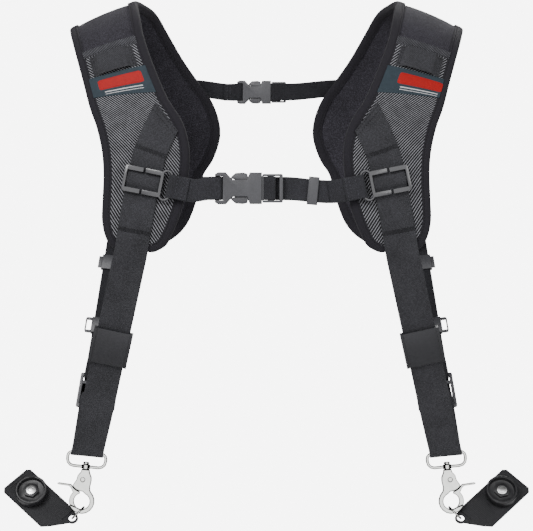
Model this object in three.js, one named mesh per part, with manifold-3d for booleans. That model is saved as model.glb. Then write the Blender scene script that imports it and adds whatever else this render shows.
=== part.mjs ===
// A dual camera harness: two padded shoulder arches joined by a chest strap and a back strap,
// and on each side a webbing strap that carries a swivel snap hook and a camera plate.
// Millimetres, +Z up. The front of the harness faces -Y and the origin lies on the shoulder line,
// midway between the two pads.

import * as THREE from 'three';
import { mergeVertices } from 'three/addons/utils/BufferGeometryUtils.js';
import Module from 'manifold-3d';

const wasm = await Module();
wasm.setup();

// Clearances
const GAP = 0.3;
const RUNNING_GAP = 0.4;

// Shoulder pads
const HALF_SPAN = 221;
const FRONT_DROP = 260;
const BACK_DROP = 256;
const CHEST_DEPTH = 104;
const BACK_DEPTH = 97;
const PAD_CORE = 5;
const PAD_CROWN = 0.035;
const BINDING_WIDTH = 10.5;
const BINDING_WALL = 0.85;
const BINDING_GAP = 0.65;
const BINDING_ROLL = 3;
const MESH_WALL = 1.2;
const HEM_HEIGHT = 9;
const HEM_RISE = 1.9;
const LABEL_HEIGHT = 27;
const LABEL_WALL = 0.8;
const UTILITY_LOOP_HEIGHT = 24;
const UTILITY_LOOP_RISE = 3.2;
const UTILITY_LOOP_WALL = 1.3;

// Webbing
const STRAP_WIDTH = 36;
const STRAP_WALL = 1.5;
const CHEST_WEBBING_WIDTH = 25;
const CHEST_WEBBING_WALL = 1.3;
const BACK_WEBBING_WIDTH = 20;
const BACK_WEBBING_WALL = 1.2;
const FLAP_LENGTH = 19;
const CHEST_FLAP_FALL = 2.3;
const BACK_FLAP_FALL = 1.3;
const BUCKLE_BAR_WALL = 3.2;
const BUCKLE_MIDDLE_WALL = 2.2;

// Chest strap, its sliders and its buckle
const CHEST_HEIGHT = 184;
const CHEST_FORWARD = 113;
const CHEST_SAG = 8;
const CHEST_MOUTH = -4.8;
const KEEPER_LENGTH = 11;
const SLIDER_HEIGHT = 28;
const SLIDER_BAR = 4.6;
const SLIDER_SIDE_BAR = 3;
const SLIDER_WALL = 3;
const SLIDER_CENTRE_WALL = 1.6;
const SLIDER_GAP = 2.6;
const SLIDER_LOOP_HEIGHT = 35;
const SLIDER_LOOP_WIDTH = 13;
const SLIDER_LOOP_WIRE = 3.4;

// Back strap and its buckle
const BACK_STRAP_HEIGHT = 70;
const BACK_STRAP_RISE = 4;
const BACK_MOUTH = 5.3;
const BACK_BEHIND = 92;
const BACK_SEAT_OUT = 112;
const BACK_SEAT_EDGE = 90;

// Carry strap, its stopper and the fittings on its rear run
const LOOP_OUT = 199.6;
const LOOP_FORWARD = 22;
const LOOP_DROP = 482.6;
const STRAP_STEER = 46;
const STOPPER_HEIGHT = 40;
const STOPPER_WALL = 2.6;
const STOPPER_BACK_WALL = 1.6;
const STOPPER_RAIL = 3;
const STOPPER_RAIL_RISE = 1.2;
const STOPPER_PLACE = 112;
const ADJUSTER_PLACE = 75;
const ADJUSTER_LENGTH = 42;
const ADJUSTER_BAR = 4.4;
const ADJUSTER_WALL = 3.4;
const FITTING_RAIL = 3.6;
const SLIDE_PLACE = 158;
const SLIDE_LENGTH = 19;
const FINGER_EYE = 7;
const KEEPER_PLACE = 238;
const REAR_KEEPER_LENGTH = 18;
const KEEPER_WALL = 1.6;
const REAR_TAIL = 186;
const STRAP_LEAVE = 1.8;

// Snap hook and its loop
const LEAN = 5.5;
const LOOP_WIRE = 4;
const LOOP_WIDTH = 46.5;
const LOOP_HEIGHT = 15.5;
const LOOP_CORNER = 7.2;
const SWIVEL_BOSS = 9;
const SWIVEL_PIN = 4.2;
const SWIVEL_HEAD = 7;
const HOOK_WALL = 5.4;
const HOOK_SLOT = 2.6;
const HOOK_LENGTH = 54.2;
const EYE_RADIUS = 8.8;
const EYE_WIRE = 5.4;
const RIVET_RADIUS = 2.4;
const RIVET_PLACE = 29.8;
const TRIGGER_WEB = 13.7;
const GATE_REACH = 32;
const LEVER_LENGTH = 29.5;
const LEVER_WALL = 2.2;

// Camera plate
const PLATE_LENGTH = 75;
const PLATE_WIDTH = 40;
const PLATE_WALL = 4.6;
const PLATE_CHAMFER = 8;
const LUG_RADIUS = 6.5;
const LUG_REACH = 8.1;
const LUG_OFFSET = 11.5;
const LUG_HOLE = 4.2;
const RING_WIRE = 2.6;
const RING_HALF_WIDTH = 5.4;
const RING_FORWARD = 2;
const DISC_RADIUS = 18;
const DISC_HEIGHT = 10;
const DISC_RIM = 2.6;
const DISC_RECESS = 4.6;
const DISC_OFFSET = 9;
const BOSS_RADIUS = 9;
const COLLAR_RADIUS = 5.7;
const SCREW_RADIUS = 3.175;

const MATERIALS = {
  neoprene: new THREE.MeshStandardMaterial({ color: '#26252b', roughness: 0.92 }),
  binding: new THREE.MeshStandardMaterial({ color: '#2c2a32', roughness: 0.88 }),
  spacer_mesh: new THREE.MeshStandardMaterial({ color: '#55555a', roughness: 0.9 }),
  webbing: new THREE.MeshStandardMaterial({ color: '#3b3b3e', roughness: 0.85 }),
  label: new THREE.MeshStandardMaterial({ color: '#35424a', roughness: 0.8 }),
  moulded: new THREE.MeshStandardMaterial({ color: '#46464a', roughness: 0.5 }),
  slider: new THREE.MeshStandardMaterial({ color: '#5c5c62', roughness: 0.3 }),
  stopper: new THREE.MeshStandardMaterial({ color: '#2b2b31', roughness: 0.6 }),
  nickel: new THREE.MeshStandardMaterial({ color: '#c9cbc8', roughness: 0.15, metalness: 1 }),
  rubber: new THREE.MeshStandardMaterial({ color: '#252529', roughness: 0.75 }),
  steel: new THREE.MeshStandardMaterial({ color: '#d8d8d8', roughness: 0.25, metalness: 1 }),
};

const vec = (x, y, z) => new THREE.Vector3(x, y, z);
const mix = (a, b, share) => a + (b - a) * share;
const smooth = (share) => share * share * (3 - 2 * share);
const range = (from, to, steps) => Array.from({ length: steps + 1 }, (_, i) => mix(from, to, i / steps));

// Sections of a pad from the shoulder top down to the front foot, for the pad at +X.
// Columns: outer edge and inner edge, each as out (shares of HALF_SPAN), forward (of CHEST_DEPTH)
// and down (of FRONT_DROP).
const FRONT_SECTIONS = [
  { out: 1.0, forward: 0.04, down: 0.038, innerOut: 0.655, innerForward: 0.04, innerDown: -0.086 },
  { out: 0.986, forward: 0.26, down: 0.073, innerOut: 0.643, innerForward: 0.29, innerDown: -0.045 },
  { out: 0.966, forward: 0.44, down: 0.121, innerOut: 0.625, innerForward: 0.5, innerDown: 0.018 },
  { out: 0.944, forward: 0.56, down: 0.177, innerOut: 0.606, innerForward: 0.635, innerDown: 0.088 },
  { out: 0.903, forward: 0.69, down: 0.292, innerOut: 0.555, innerForward: 0.79, innerDown: 0.213 },
  { out: 0.867, forward: 0.79, down: 0.4, innerOut: 0.479, innerForward: 0.894, innerDown: 0.362 },
  { out: 0.83, forward: 0.846, down: 0.485, innerOut: 0.405, innerForward: 0.952, innerDown: 0.463 },
  { out: 0.803, forward: 0.885, down: 0.585, innerOut: 0.372, innerForward: 0.99, innerDown: 0.571 },
  { out: 0.795, forward: 0.904, down: 0.676, innerOut: 0.375, innerForward: 1.0, innerDown: 0.67 },
  { out: 0.8, forward: 0.913, down: 0.8, innerOut: 0.399, innerForward: 1.0, innerDown: 0.793 },
  { out: 0.802, forward: 0.904, down: 0.866, innerOut: 0.423, innerForward: 1.0, innerDown: 0.861 },
  { out: 0.787, forward: 0.894, down: 0.932, innerOut: 0.459, innerForward: 0.98, innerDown: 0.933 },
  { out: 0.761, forward: 0.885, down: 0.973, innerOut: 0.489, innerForward: 0.96, innerDown: 0.976 },
  { out: 0.708, forward: 0.875, down: 0.998, innerOut: 0.54, innerForward: 0.94, innerDown: 1.0 },
];

// Sections from just behind the shoulder top down to the back foot, with back as shares of BACK_DEPTH
// and down as shares of BACK_DROP.
const BACK_SECTIONS = [
  { out: 0.991, back: 0.23, down: 0.036, innerOut: 0.621, innerBack: 0.23, innerDown: -0.086 },
  { out: 0.925, back: 0.46, down: 0.063, innerOut: 0.571, innerBack: 0.46, innerDown: -0.061 },
  { out: 0.873, back: 0.6, down: 0.121, innerOut: 0.517, innerBack: 0.62, innerDown: 0.017 },
  { out: 0.817, back: 0.73, down: 0.211, innerOut: 0.441, innerBack: 0.76, innerDown: 0.129 },
  { out: 0.762, back: 0.825, down: 0.297, innerOut: 0.363, innerBack: 0.856, innerDown: 0.225 },
  { out: 0.717, back: 0.9, down: 0.383, innerOut: 0.29, innerBack: 0.93, innerDown: 0.314 },
  { out: 0.69, back: 0.94, down: 0.457, innerOut: 0.251, innerBack: 0.97, innerDown: 0.405 },
  { out: 0.681, back: 0.96, down: 0.523, innerOut: 0.246, innerBack: 0.99, innerDown: 0.483 },
  { out: 0.701, back: 0.97, down: 0.613, innerOut: 0.286, innerBack: 1.0, innerDown: 0.588 },
  { out: 0.742, back: 0.98, down: 0.68, innerOut: 0.334, innerBack: 1.0, innerDown: 0.653 },
  { out: 0.805, back: 0.98, down: 0.781, innerOut: 0.366, innerBack: 1.0, innerDown: 0.759 },
  { out: 0.851, back: 0.97, down: 0.883, innerOut: 0.424, innerBack: 0.99, innerDown: 0.884 },
  { out: 0.851, back: 0.95, down: 0.949, innerOut: 0.493, innerBack: 0.97, innerDown: 0.946 },
  { out: 0.796, back: 0.93, down: 1.0, innerOut: 0.606, innerBack: 0.95, innerDown: 0.99 },
];

// The middle of the webbing sewn on each lobe, from its top end down, in shares of HALF_SPAN and the drop.
const FRONT_WEBBING = [
  { out: 0.482, down: 0.442 },
  { out: 0.553, down: 0.575 },
  { out: 0.582, down: 0.662 },
  { out: 0.611, down: 0.785 },
  { out: 0.64, down: 0.92 },
  { out: 0.654, down: 0.99 },
];
const BACK_WEBBING = [
  { out: 0.6, down: 0.56 },
  { out: 0.64, down: 0.64 },
  { out: 0.69, down: 0.75 },
  { out: 0.735, down: 0.86 },
  { out: 0.77, down: 0.965 },
];

const LAST_STATION = FRONT_SECTIONS.length + BACK_SECTIONS.length - 1;
// Rows of the pad: close together at its round feet and over the shoulder.
const PAD_STATIONS = [
  ...range(0, 3, 3),
  ...range(4.5, 10.5, 4),
  ...range(11.5, 16.5, 7),
  ...range(18, 24, 4),
  ...range(25, LAST_STATION, 2),
];
const HEM_STATION = 9.75;
const LABEL_STATION = 9;

// The two long edges of the pad at +X, as curves from the front foot over the shoulder to the back foot.
function padEdge(outKey, forwardKey, backKey, downKey) {
  const front = FRONT_SECTIONS.map((row) =>
    vec(row[outKey] * HALF_SPAN, -row[forwardKey] * CHEST_DEPTH, -row[downKey] * FRONT_DROP));
  const back = BACK_SECTIONS.map((row) =>
    vec(row[outKey] * HALF_SPAN, row[backKey] * BACK_DEPTH, -row[downKey] * BACK_DROP));
  return new THREE.CatmullRomCurve3([...front.reverse(), ...back]);
}

const OUTER_EDGE = padEdge('out', 'forward', 'back', 'down');
const INNER_EDGE = padEdge('innerOut', 'innerForward', 'innerBack', 'innerDown');

// A point between the two edges, before the pad's crown.
function ruledPoint(station, across) {
  const share = THREE.MathUtils.clamp(station / LAST_STATION, 0, 1);
  return OUTER_EDGE.getPoint(share).lerp(INNER_EDGE.getPoint(share), across);
}

// The pad's top face: it bulges away from the body by a share of its width.
function crownedPoint(station, across) {
  const step = 0.05;
  const low = Math.max(station - step, 0);
  const high = Math.min(station + step, LAST_STATION);
  const along = ruledPoint(high, across).sub(ruledPoint(low, across));
  const inward = ruledPoint(station, 1).sub(ruledPoint(station, 0));
  const rise = 4 * across * (1 - across) * PAD_CROWN * inward.length();
  const out = along.cross(inward).normalize();
  return ruledPoint(station, across).addScaledVector(out, rise);
}

// The pad's top face at a station and a share of its width, with its outward normal and both directions.
function padFrame(station, across) {
  const stationStep = 0.02;
  const acrossStep = 0.005;
  const low = Math.max(station - stationStep, 0);
  const high = Math.min(station + stationStep, LAST_STATION);
  const along = crownedPoint(high, across).sub(crownedPoint(low, across)).divideScalar(high - low);
  const before = crownedPoint(station, across - acrossStep);
  const inward = crownedPoint(station, across + acrossStep).sub(before).divideScalar(2 * acrossStep);
  const normal = along.clone().cross(inward).normalize();
  return { point: crownedPoint(station, across), along, inward, normal };
}

// A point at a height over the pad's top face.
function overPad(station, across, height) {
  const frame = padFrame(station, across);
  return frame.point.addScaledVector(frame.normal, height);
}

// The station and share of width that lie a distance inside a pad's edge, mitred between two neighbours.
function insetFrom(before, here, after, distance) {
  const frame = padFrame(here.station, here.across);
  const arriving = frame.point.clone().sub(crownedPoint(before.station, before.across)).normalize();
  const leaving = crownedPoint(after.station, after.across).sub(frame.point).normalize();
  const tangent = arriving.add(leaving);
  const mitre = Math.max(0.5, tangent.length() / 2);
  const inside = frame.normal.clone().cross(tangent).normalize();
  const target = frame.point.addScaledVector(inside, distance / mitre);
  return nearestPlace(here, target);
}

// The station and share of width whose surface point lies nearest to a target, searched from a start.
function nearestPlace(start, target) {
  let { station, across } = start;
  for (let round = 0; round < 4; round += 1) {
    const frame = padFrame(station, across);
    const miss = target.clone().sub(frame.point);
    const aa = frame.along.dot(frame.along);
    const ai = frame.along.dot(frame.inward);
    const ii = frame.inward.dot(frame.inward);
    const scale = aa * ii - ai * ai;
    station += (miss.dot(frame.along) * ii - miss.dot(frame.inward) * ai) / scale;
    across += (miss.dot(frame.inward) * aa - miss.dot(frame.along) * ai) / scale;
  }
  return { station, across };
}

// A point a distance inside the outer edge (edge 0) or the inner edge (edge 1).
function edgeInset(station, edge, distance) {
  const footShare = edge === 0 ? 1 / 3 : 2 / 3;
  const below = PAD_STATIONS.filter((place) => place < station - 0.001).pop();
  const above = PAD_STATIONS.find((place) => place > station + 0.001);
  const foot = (station) => ({ station, across: footShare });
  const low = below === undefined ? foot(0) : { station: below, across: edge };
  const high = above === undefined ? foot(LAST_STATION) : { station: above, across: edge };
  const here = { station, across: edge };
  return edge === 0 ? insetFrom(low, here, high, distance) : insetFrom(high, here, low, distance);
}

// The pad's whole edge as a loop: up the outer edge, across the back foot, down the inner edge, and home.
function padRim() {
  const rim = [];
  for (const station of PAD_STATIONS) {
    rim.push({ station, across: 0 });
  }
  rim.push({ station: LAST_STATION, across: 1 / 3 }, { station: LAST_STATION, across: 2 / 3 });
  for (const station of [...PAD_STATIONS].reverse()) {
    rim.push({ station, across: 1 });
  }
  rim.push({ station: 0, across: 2 / 3 }, { station: 0, across: 1 / 3 });
  return rim;
}

// The place on the front lobe, or on the back lobe, whose outward distance and height are given.
function placeOnPad(out, height, onFront) {
  let station = onFront ? 5 : LAST_STATION - 6;
  let across = 0.5;
  for (let round = 0; round < 24; round += 1) {
    const frame = padFrame(station, across);
    const missOut = out - frame.point.x;
    const missUp = height - frame.point.z;
    const scale = frame.along.x * frame.inward.z - frame.along.z * frame.inward.x;
    station += (missOut * frame.inward.z - missUp * frame.inward.x) / scale;
    across += (missUp * frame.along.x - missOut * frame.along.z) / scale;
    station = THREE.MathUtils.clamp(station, 0, LAST_STATION);
    across = THREE.MathUtils.clamp(across, 0, 1);
  }
  return { station, across };
}

// The station a distance along the pad's middle from another one.
function stationFrom(station, distance) {
  return station + distance / padFrame(station, 0.5).along.length();
}

// One closed solid through matching outlines. A ring joins the last outline to the first.
function loft(outlines, ring = false) {
  const count = outlines[0].length;
  const positions = outlines.flat().flatMap((point) => [point.x, point.y, point.z]);
  const at = (i, j) => (i % outlines.length) * count + (j % count);
  const indices = [];
  const spans = ring ? outlines.length : outlines.length - 1;
  for (let i = 0; i < spans; i += 1) {
    for (let j = 0; j < count; j += 1) {
      indices.push(at(i, j), at(i + 1, j), at(i, j + 1));
      indices.push(at(i, j + 1), at(i + 1, j), at(i + 1, j + 1));
    }
  }
  if (!ring) {
    const last = outlines.length - 1;
    for (let j = 0; j < count / 2 - 1; j += 1) {
      const far = count - 1 - j;
      indices.push(at(0, j), at(0, j + 1), at(0, far - 1));
      indices.push(at(0, j), at(0, far - 1), at(0, far));
      indices.push(at(last, j), at(last, far - 1), at(last, j + 1));
      indices.push(at(last, j), at(last, far), at(last, far - 1));
    }
  }
  const geometry = new THREE.BufferGeometry();
  geometry.setAttribute('position', new THREE.Float32BufferAttribute(positions, 3));
  geometry.setIndex(signedVolume(positions, indices) < 0 ? indices.reverse() : indices);
  geometry.computeVertexNormals();
  return geometry;
}

function signedVolume(positions, indices) {
  const corner = (index) => vec(positions[3 * index], positions[3 * index + 1], positions[3 * index + 2]);
  let volume = 0;
  for (let i = 0; i < indices.length; i += 3) {
    volume += corner(indices[i]).dot(corner(indices[i + 1]).cross(corner(indices[i + 2]))) / 6;
  }
  return volume;
}

// A slab from rows of points that each have a top and a bottom.
function slab(rows) {
  return loft(rows.map((row) => [...row.map((p) => p.top), ...row.map((p) => p.bottom).reverse()]));
}

// A layer on the pad between two insets of its edges, over a run of stations.
function padLayer(stations, inset, columns, low, high) {
  return slab(stations.map((station) => {
    const from = edgeInset(station, 0, inset);
    const to = edgeInset(station, 1, inset);
    return Array.from({ length: columns + 1 }, (_, column) => {
      const share = column / columns;
      const place = [mix(from.station, to.station, share), mix(from.across, to.across, share)];
      return { top: overPad(...place, high(share)), bottom: overPad(...place, low(share)) };
    });
  }));
}


function shoulderPad() {
  const inset = BINDING_ROLL + GAP;
  return padLayer(PAD_STATIONS, inset, 4, () => -PAD_CORE, () => 0);
}

// The binding is a folded tape: its two legs lie on the faces and its fold goes round the edge.
function edgeBinding() {
  const top = BINDING_GAP + BINDING_WALL;
  const bottom = -PAD_CORE - top;
  const middle = (top + bottom) / 2;
  const fold = [
    [BINDING_WIDTH, top],
    [BINDING_ROLL / 2, top],
    [0, middle],
    [BINDING_ROLL / 2, bottom],
    [BINDING_WIDTH, bottom],
    [BINDING_WIDTH, bottom + BINDING_WALL],
    [BINDING_ROLL * 0.8, bottom + BINDING_WALL],
    [BINDING_WALL, middle],
    [BINDING_ROLL * 0.8, top - BINDING_WALL],
    [BINDING_WIDTH, top - BINDING_WALL],
  ];
  const rim = padRim();
  const outlines = rim.map((here, i) => {
    const before = rim[(i + rim.length - 1) % rim.length];
    const after = rim[(i + 1) % rim.length];
    return fold.map(([inside, height]) => {
      const place = insetFrom(before, here, after, inside);
      return overPad(place.station, place.across, height);
    });
  });
  return loft(outlines, true);
}

const SKIN = GAP + MESH_WALL;

function meshPanel() {
  const inset = BINDING_WIDTH + 2.5 * GAP;
  const stations = [...PAD_STATIONS.filter((station) => station < HEM_STATION - 0.5), HEM_STATION];
  return padLayer(stations, inset, 4, () => GAP, () => SKIN);
}

// The hem starts a small gap above the mesh and stands prouder than it.
function panelHem() {
  const start = stationFrom(HEM_STATION, GAP);
  const end = stationFrom(start, HEM_HEIGHT);
  const roll = (share) => GAP + HEM_RISE * (0.75 + share * (1 - share));
  return padLayer([start, end], BINDING_WIDTH + GAP, 4, () => GAP, roll);
}

function labelPatch() {
  const end = stationFrom(LABEL_STATION, -LABEL_HEIGHT);
  const base = SKIN + GAP;
  return padLayer(range(end, LABEL_STATION, 3), BINDING_WIDTH + GAP, 4, () => base, () => base + LABEL_WALL);
}

// A short webbing loop sewn down at its two ends, which stands off the mesh between them.
function utilityLoop() {
  const low = stationFrom(LABEL_STATION, 4 * GAP);
  const high = Math.min(stationFrom(low, UTILITY_LOOP_HEIGHT), stationFrom(HEM_STATION, -GAP));
  const stand = (share) => {
    const foot = Math.min(share, 1 - share);
    return SKIN + GAP + UTILITY_LOOP_RISE * smooth(THREE.MathUtils.clamp((foot - 0.08) / 0.12, 0, 1));
  };
  return slab(range(low, high, 1).map((station) => range(0.23, 0.78, 10).map((across) => {
    const height = stand((across - 0.23) / 0.55);
    return {
      top: overPad(station, across, height + UTILITY_LOOP_WALL),
      bottom: overPad(station, across, height),
    };
  })));
}

// Webbing through a list of middle points, each with its direction across. Skew slants its first end.
function ribbon(places, width, wall, skew = 0) {
  const rows = places.map((place, i) => {
    const before = places[Math.max(i - 1, 0)].point;
    const after = places[Math.min(i + 1, places.length - 1)].point;
    const along = after.clone().sub(before).normalize();
    const out = along.clone().cross(place.across).normalize();
    const slant = skew * Math.max(0, 1 - i / 3);
    return [-1, 1].map((side) => {
      const middle = place.point.clone().addScaledVector(place.across, side * width / 2);
      middle.addScaledVector(along, -side * slant / 2);
      return {
        top: middle.clone().addScaledVector(out, wall / 2),
        bottom: middle.addScaledVector(out, -wall / 2),
      };
    });
  });
  return slab(rows);
}

// The height of the carry strap's underside over the front lobe. It rises over the chest slider's middle bar.
const SLIDER_SPAN = SLIDER_HEIGHT / 2 - SLIDER_BAR;
function strapLift(height) {
  const away = Math.abs(height + CHEST_HEIGHT);
  const rise = SLIDER_CENTRE_WALL + GAP;
  return SKIN + GAP + rise * smooth(THREE.MathUtils.clamp(1 - (away - 3) / (SLIDER_SPAN - 2), 0, 1));
}

// The rear strap's underside over the back lobe: it lies on the binding and lifts off towards the foot.
function rearLift(height) {
  const leave = smooth(THREE.MathUtils.clamp((-height - 0.84 * BACK_DROP) / (0.12 * BACK_DROP), 0, 1));
  return SKIN + 2 * GAP + STRAP_LEAVE * leave;
}

// Webbing places along a lobe: smooth middle points lifted off the pad, with the direction across.
function lobePlaces(table, drop, onFront, wall, lift, shares) {
  const flat = new THREE.CatmullRomCurve3(table.map((row) => vec(row.out * HALF_SPAN, 0, -row.down * drop)));
  const places = shares.map((share) => {
    const target = flat.getPoint(share);
    const place = placeOnPad(target.x, target.z, onFront);
    return padFrame(place.station, place.across);
  });
  return places.map((frame, i) => {
    const before = places[Math.max(i - 1, 0)].point;
    const after = places[Math.min(i + 1, places.length - 1)].point;
    const down = after.clone().sub(before).normalize();
    const across = frame.normal.clone().cross(down).normalize();
    const height = lift(frame.point.z) + wall / 2;
    if (!onFront) {
      across.negate();
    }
    return { point: frame.point.clone().addScaledVector(frame.normal, height), across, surface: frame };
  });
}

// The metal loop's bar, where the carry strap folds, and its direction outward.
const BAR = vec(LOOP_OUT, -LOOP_FORWARD, -LOOP_DROP);
const LEAN_ANGLE = THREE.MathUtils.degToRad(LEAN);
const BAR_OUT = vec(Math.cos(LEAN_ANGLE), 0, Math.sin(LEAN_ANGLE));

// The front run leaves the lobe, goes straight through the stopper, and turns to the loop's bar at its end.
const FRONT_SHARES = [0, 0.12, 0.24, 0.34, ...range(0.38, 0.6, 9), 0.7, 0.8, 0.9, 1];
const FRONT_PLACES = lobePlaces(FRONT_WEBBING, FRONT_DROP, true, STRAP_WALL, strapLift, FRONT_SHARES);
const BACK_PLACES = lobePlaces(BACK_WEBBING, BACK_DROP, false, STRAP_WALL, rearLift, range(0, 1, 8));

const FOLD_RADIUS = LOOP_WIRE / 2 + 2 * GAP + STRAP_WALL / 2;
const LOBE_END = FRONT_PLACES[FRONT_PLACES.length - 1];
const STEER_POINT = BAR.clone().add(vec(-STRAP_STEER * 0.26, -STRAP_STEER * 0.42, STRAP_STEER));
const FRONT_RUN = STEER_POINT.clone().sub(LOBE_END.point).normalize();
const FRONT_RUN_LENGTH = STEER_POINT.distanceTo(LOBE_END.point);
const FRONT_ACROSS = vec(1, 0, 0).addScaledVector(FRONT_RUN, -FRONT_RUN.x).normalize();
const FRONT_OUT = FRONT_RUN.clone().cross(FRONT_ACROSS).normalize();

const BACK_END = BACK_PLACES[BACK_PLACES.length - 1];
const REAR_RUN = BACK_END.point.clone().sub(BAR).normalize();
const REAR_ACROSS = BAR_OUT.clone().addScaledVector(REAR_RUN, -BAR_OUT.dot(REAR_RUN)).normalize();
const REAR_OUT = REAR_RUN.clone().cross(REAR_ACROSS).normalize();

const LAYER = STRAP_WALL + GAP;
const REAR_REACH = BACK_END.point.distanceTo(BAR);
const REAR_HEIGHT = FOLD_RADIUS + LAYER;
const ADJUSTER_TURN = ADJUSTER_WALL / 2 + 1.5 * GAP + STRAP_WALL / 2;

// A place on the rear run: a distance up from the bar and a height on its outer side.
function rearPlace(distance, height) {
  const point = BAR.clone().addScaledVector(REAR_RUN, distance).addScaledVector(REAR_OUT, height);
  return { point, across: REAR_ACROSS };
}

// The height of the rear strap over the straight line from the bar to the back lobe's foot.
function rearHeight(distance) {
  return REAR_HEIGHT * smooth(THREE.MathUtils.clamp(2 * (1 - distance / REAR_REACH), 0, 1));
}

function carryStrap() {
  const run = range(0.12, 1, 4).map((share) => {
    const turn = THREE.MathUtils.clamp(share / 0.12, 0, 1);
    const across = LOBE_END.across.clone().lerp(FRONT_ACROSS, turn).normalize();
    return { point: LOBE_END.point.clone().addScaledVector(FRONT_RUN, FRONT_RUN_LENGTH * share), across };
  });
  const arriving = BAR.clone().sub(STEER_POINT).normalize();
  const frontOut = arriving.clone().cross(BAR_OUT).normalize();
  const arrival = BAR.clone().addScaledVector(frontOut, FOLD_RADIUS);
  const bend = [0.3, 0.6, 0.85].map((share) => ({
    point: STEER_POINT.clone().lerp(arrival, share),
    across: FRONT_ACROSS.clone().lerp(BAR_OUT, smooth(share)).normalize(),
  }));
  const down = BAR_OUT.clone().cross(vec(0, 1, 0)).negate().normalize();
  const turn = frontOut.angleTo(REAR_OUT);
  const axis = frontOut.clone().cross(down).normalize();
  const fold = range(0, turn, 5).map((angle) => ({
    point: BAR.clone().addScaledVector(frontOut.clone().applyAxisAngle(axis, angle), FOLD_RADIUS),
    across: BAR_OUT,
  }));
  const lower = ADJUSTER_PLACE - ADJUSTER_LENGTH / 2;
  const frame = REAR_HEIGHT - ADJUSTER_TURN;
  const inside = frame - ADJUSTER_TURN;
  const over = REAR_HEIGHT + LAYER;
  const rise = [0.2, 0.4, 0.6, 0.8].map((share) =>
    rearPlace(lower + ADJUSTER_BAR + 2 + 20 * share, mix(inside, over, smooth(share))));
  const tail = range(lower + ADJUSTER_LENGTH - 9, REAR_TAIL, 4).map((distance) =>
    rearPlace(distance, rearHeight(distance) + LAYER));
  const rear = [
    rearPlace(lower * 0.5, mix(FOLD_RADIUS, inside, 0.5)),
    rearPlace(lower - 3, inside),
    rearPlace(lower + ADJUSTER_BAR + 2, inside),
    ...rise,
    ...tail,
  ];
  return ribbon([...FRONT_PLACES, ...run, ...bend, ...fold, ...rear], STRAP_WIDTH, STRAP_WALL, 19);
}

// A fold round a bar with square corners, in shares of its reach past the bar's middle and of its height.
const BAR_FOLD = [
  { reach: 0, height: 1 },
  { reach: 0.68, height: 1 },
  { reach: 0.93, height: 0.88 },
  { reach: 1, height: 0.6 },
  { reach: 1, height: -0.6 },
  { reach: 0.93, height: -0.88 },
  { reach: 0.68, height: -1 },
  { reach: 0, height: -1 },
];

// The rear strap comes down from the back lobe, folds round the adjuster's top bar and ends in a short flap.
function rearStrap() {
  const bar = ADJUSTER_PLACE + ADJUSTER_LENGTH / 2 - ADJUSTER_BAR / 2;
  const around = ADJUSTER_BAR / 2 + GAP + STRAP_WALL / 2;
  const middle = REAR_HEIGHT - ADJUSTER_TURN;
  const down = [0.93, 0.85, 0.75, 0.65, 0.55].map((share) =>
    rearPlace(REAR_REACH * share, rearHeight(REAR_REACH * share)));
  const fold = BAR_FOLD.map(({ reach, height }) =>
    rearPlace(bar - around * reach, middle + ADJUSTER_TURN * height));
  const flap = [7, FLAP_LENGTH].map((distance) =>
    rearPlace(bar + distance, mix(middle - ADJUSTER_TURN, REAR_HEIGHT - LAYER, distance > 7 ? 1 : 0.3)));
  const places = [...BACK_PLACES, ...down, rearPlace(bar + 6, REAR_HEIGHT), ...fold, ...flap];
  return ribbon(places, STRAP_WIDTH, STRAP_WALL);
}

// A flat part from an outline in the drawing plane, centred on that plane.
function cutPlate(shape, wall, bevel = 0, curveSegments = 6) {
  const geometry = new THREE.ExtrudeGeometry(shape, {
    depth: wall - 2 * bevel,
    bevelEnabled: bevel > 0,
    bevelThickness: bevel,
    bevelSize: bevel,
    bevelOffset: -bevel,
    bevelSegments: 1,
    curveSegments,
  });
  return geometry.translate(0, 0, -(wall / 2 - bevel));
}

function block(width, height, depth, x = 0, y = 0, z = 0) {
  return new THREE.BoxGeometry(width, height, depth).translate(x, y, z);
}

function rod(radius, length, sides = 12) {
  return new THREE.CylinderGeometry(radius, radius, length, sides);
}

// A turned part from its profile of radius and height, standing on the drawing plane.
function turned(profile, sides) {
  const points = profile.map(([radius, height]) => new THREE.Vector2(radius, height));
  return new THREE.LatheGeometry(points, sides).rotateX(Math.PI / 2);
}

function roundedRectangle(width, height, radius, x = 0, y = 0, path = new THREE.Shape()) {
  const left = x - width / 2;
  const right = x + width / 2;
  const low = y - height / 2;
  const high = y + height / 2;
  path.moveTo(left + radius, low);
  path.lineTo(right - radius, low);
  path.absarc(right - radius, low + radius, radius, -Math.PI / 2, 0);
  path.lineTo(right, high - radius);
  path.absarc(right - radius, high - radius, radius, 0, Math.PI / 2);
  path.lineTo(left + radius, high);
  path.absarc(left + radius, high - radius, radius, Math.PI / 2, Math.PI);
  path.lineTo(left, low + radius);
  path.absarc(left + radius, low + radius, radius, Math.PI, Math.PI * 1.5);
  return path;
}

function polygon(points, path = new THREE.Shape()) {
  points.forEach(([x, y], i) => (i === 0 ? path.moveTo(x, y) : path.lineTo(x, y)));
  path.closePath();
  return path;
}

function toSolid(geometry) {
  const bare = geometry.clone();
  bare.deleteAttribute('normal');
  bare.deleteAttribute('uv');
  const merged = mergeVertices(bare, 1e-4);
  return new wasm.Manifold(new wasm.Mesh({
    numProp: 3,
    vertProperties: new Float32Array(merged.attributes.position.array),
    triVerts: new Uint32Array(merged.index.array),
  }));
}

function toGeometry(solid) {
  const mesh = solid.getMesh();
  const geometry = new THREE.BufferGeometry();
  geometry.setAttribute('position', new THREE.Float32BufferAttribute(mesh.vertProperties, 3));
  geometry.setIndex(new THREE.Uint32BufferAttribute(mesh.triVerts, 1));
  geometry.computeVertexNormals();
  return geometry;
}

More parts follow.
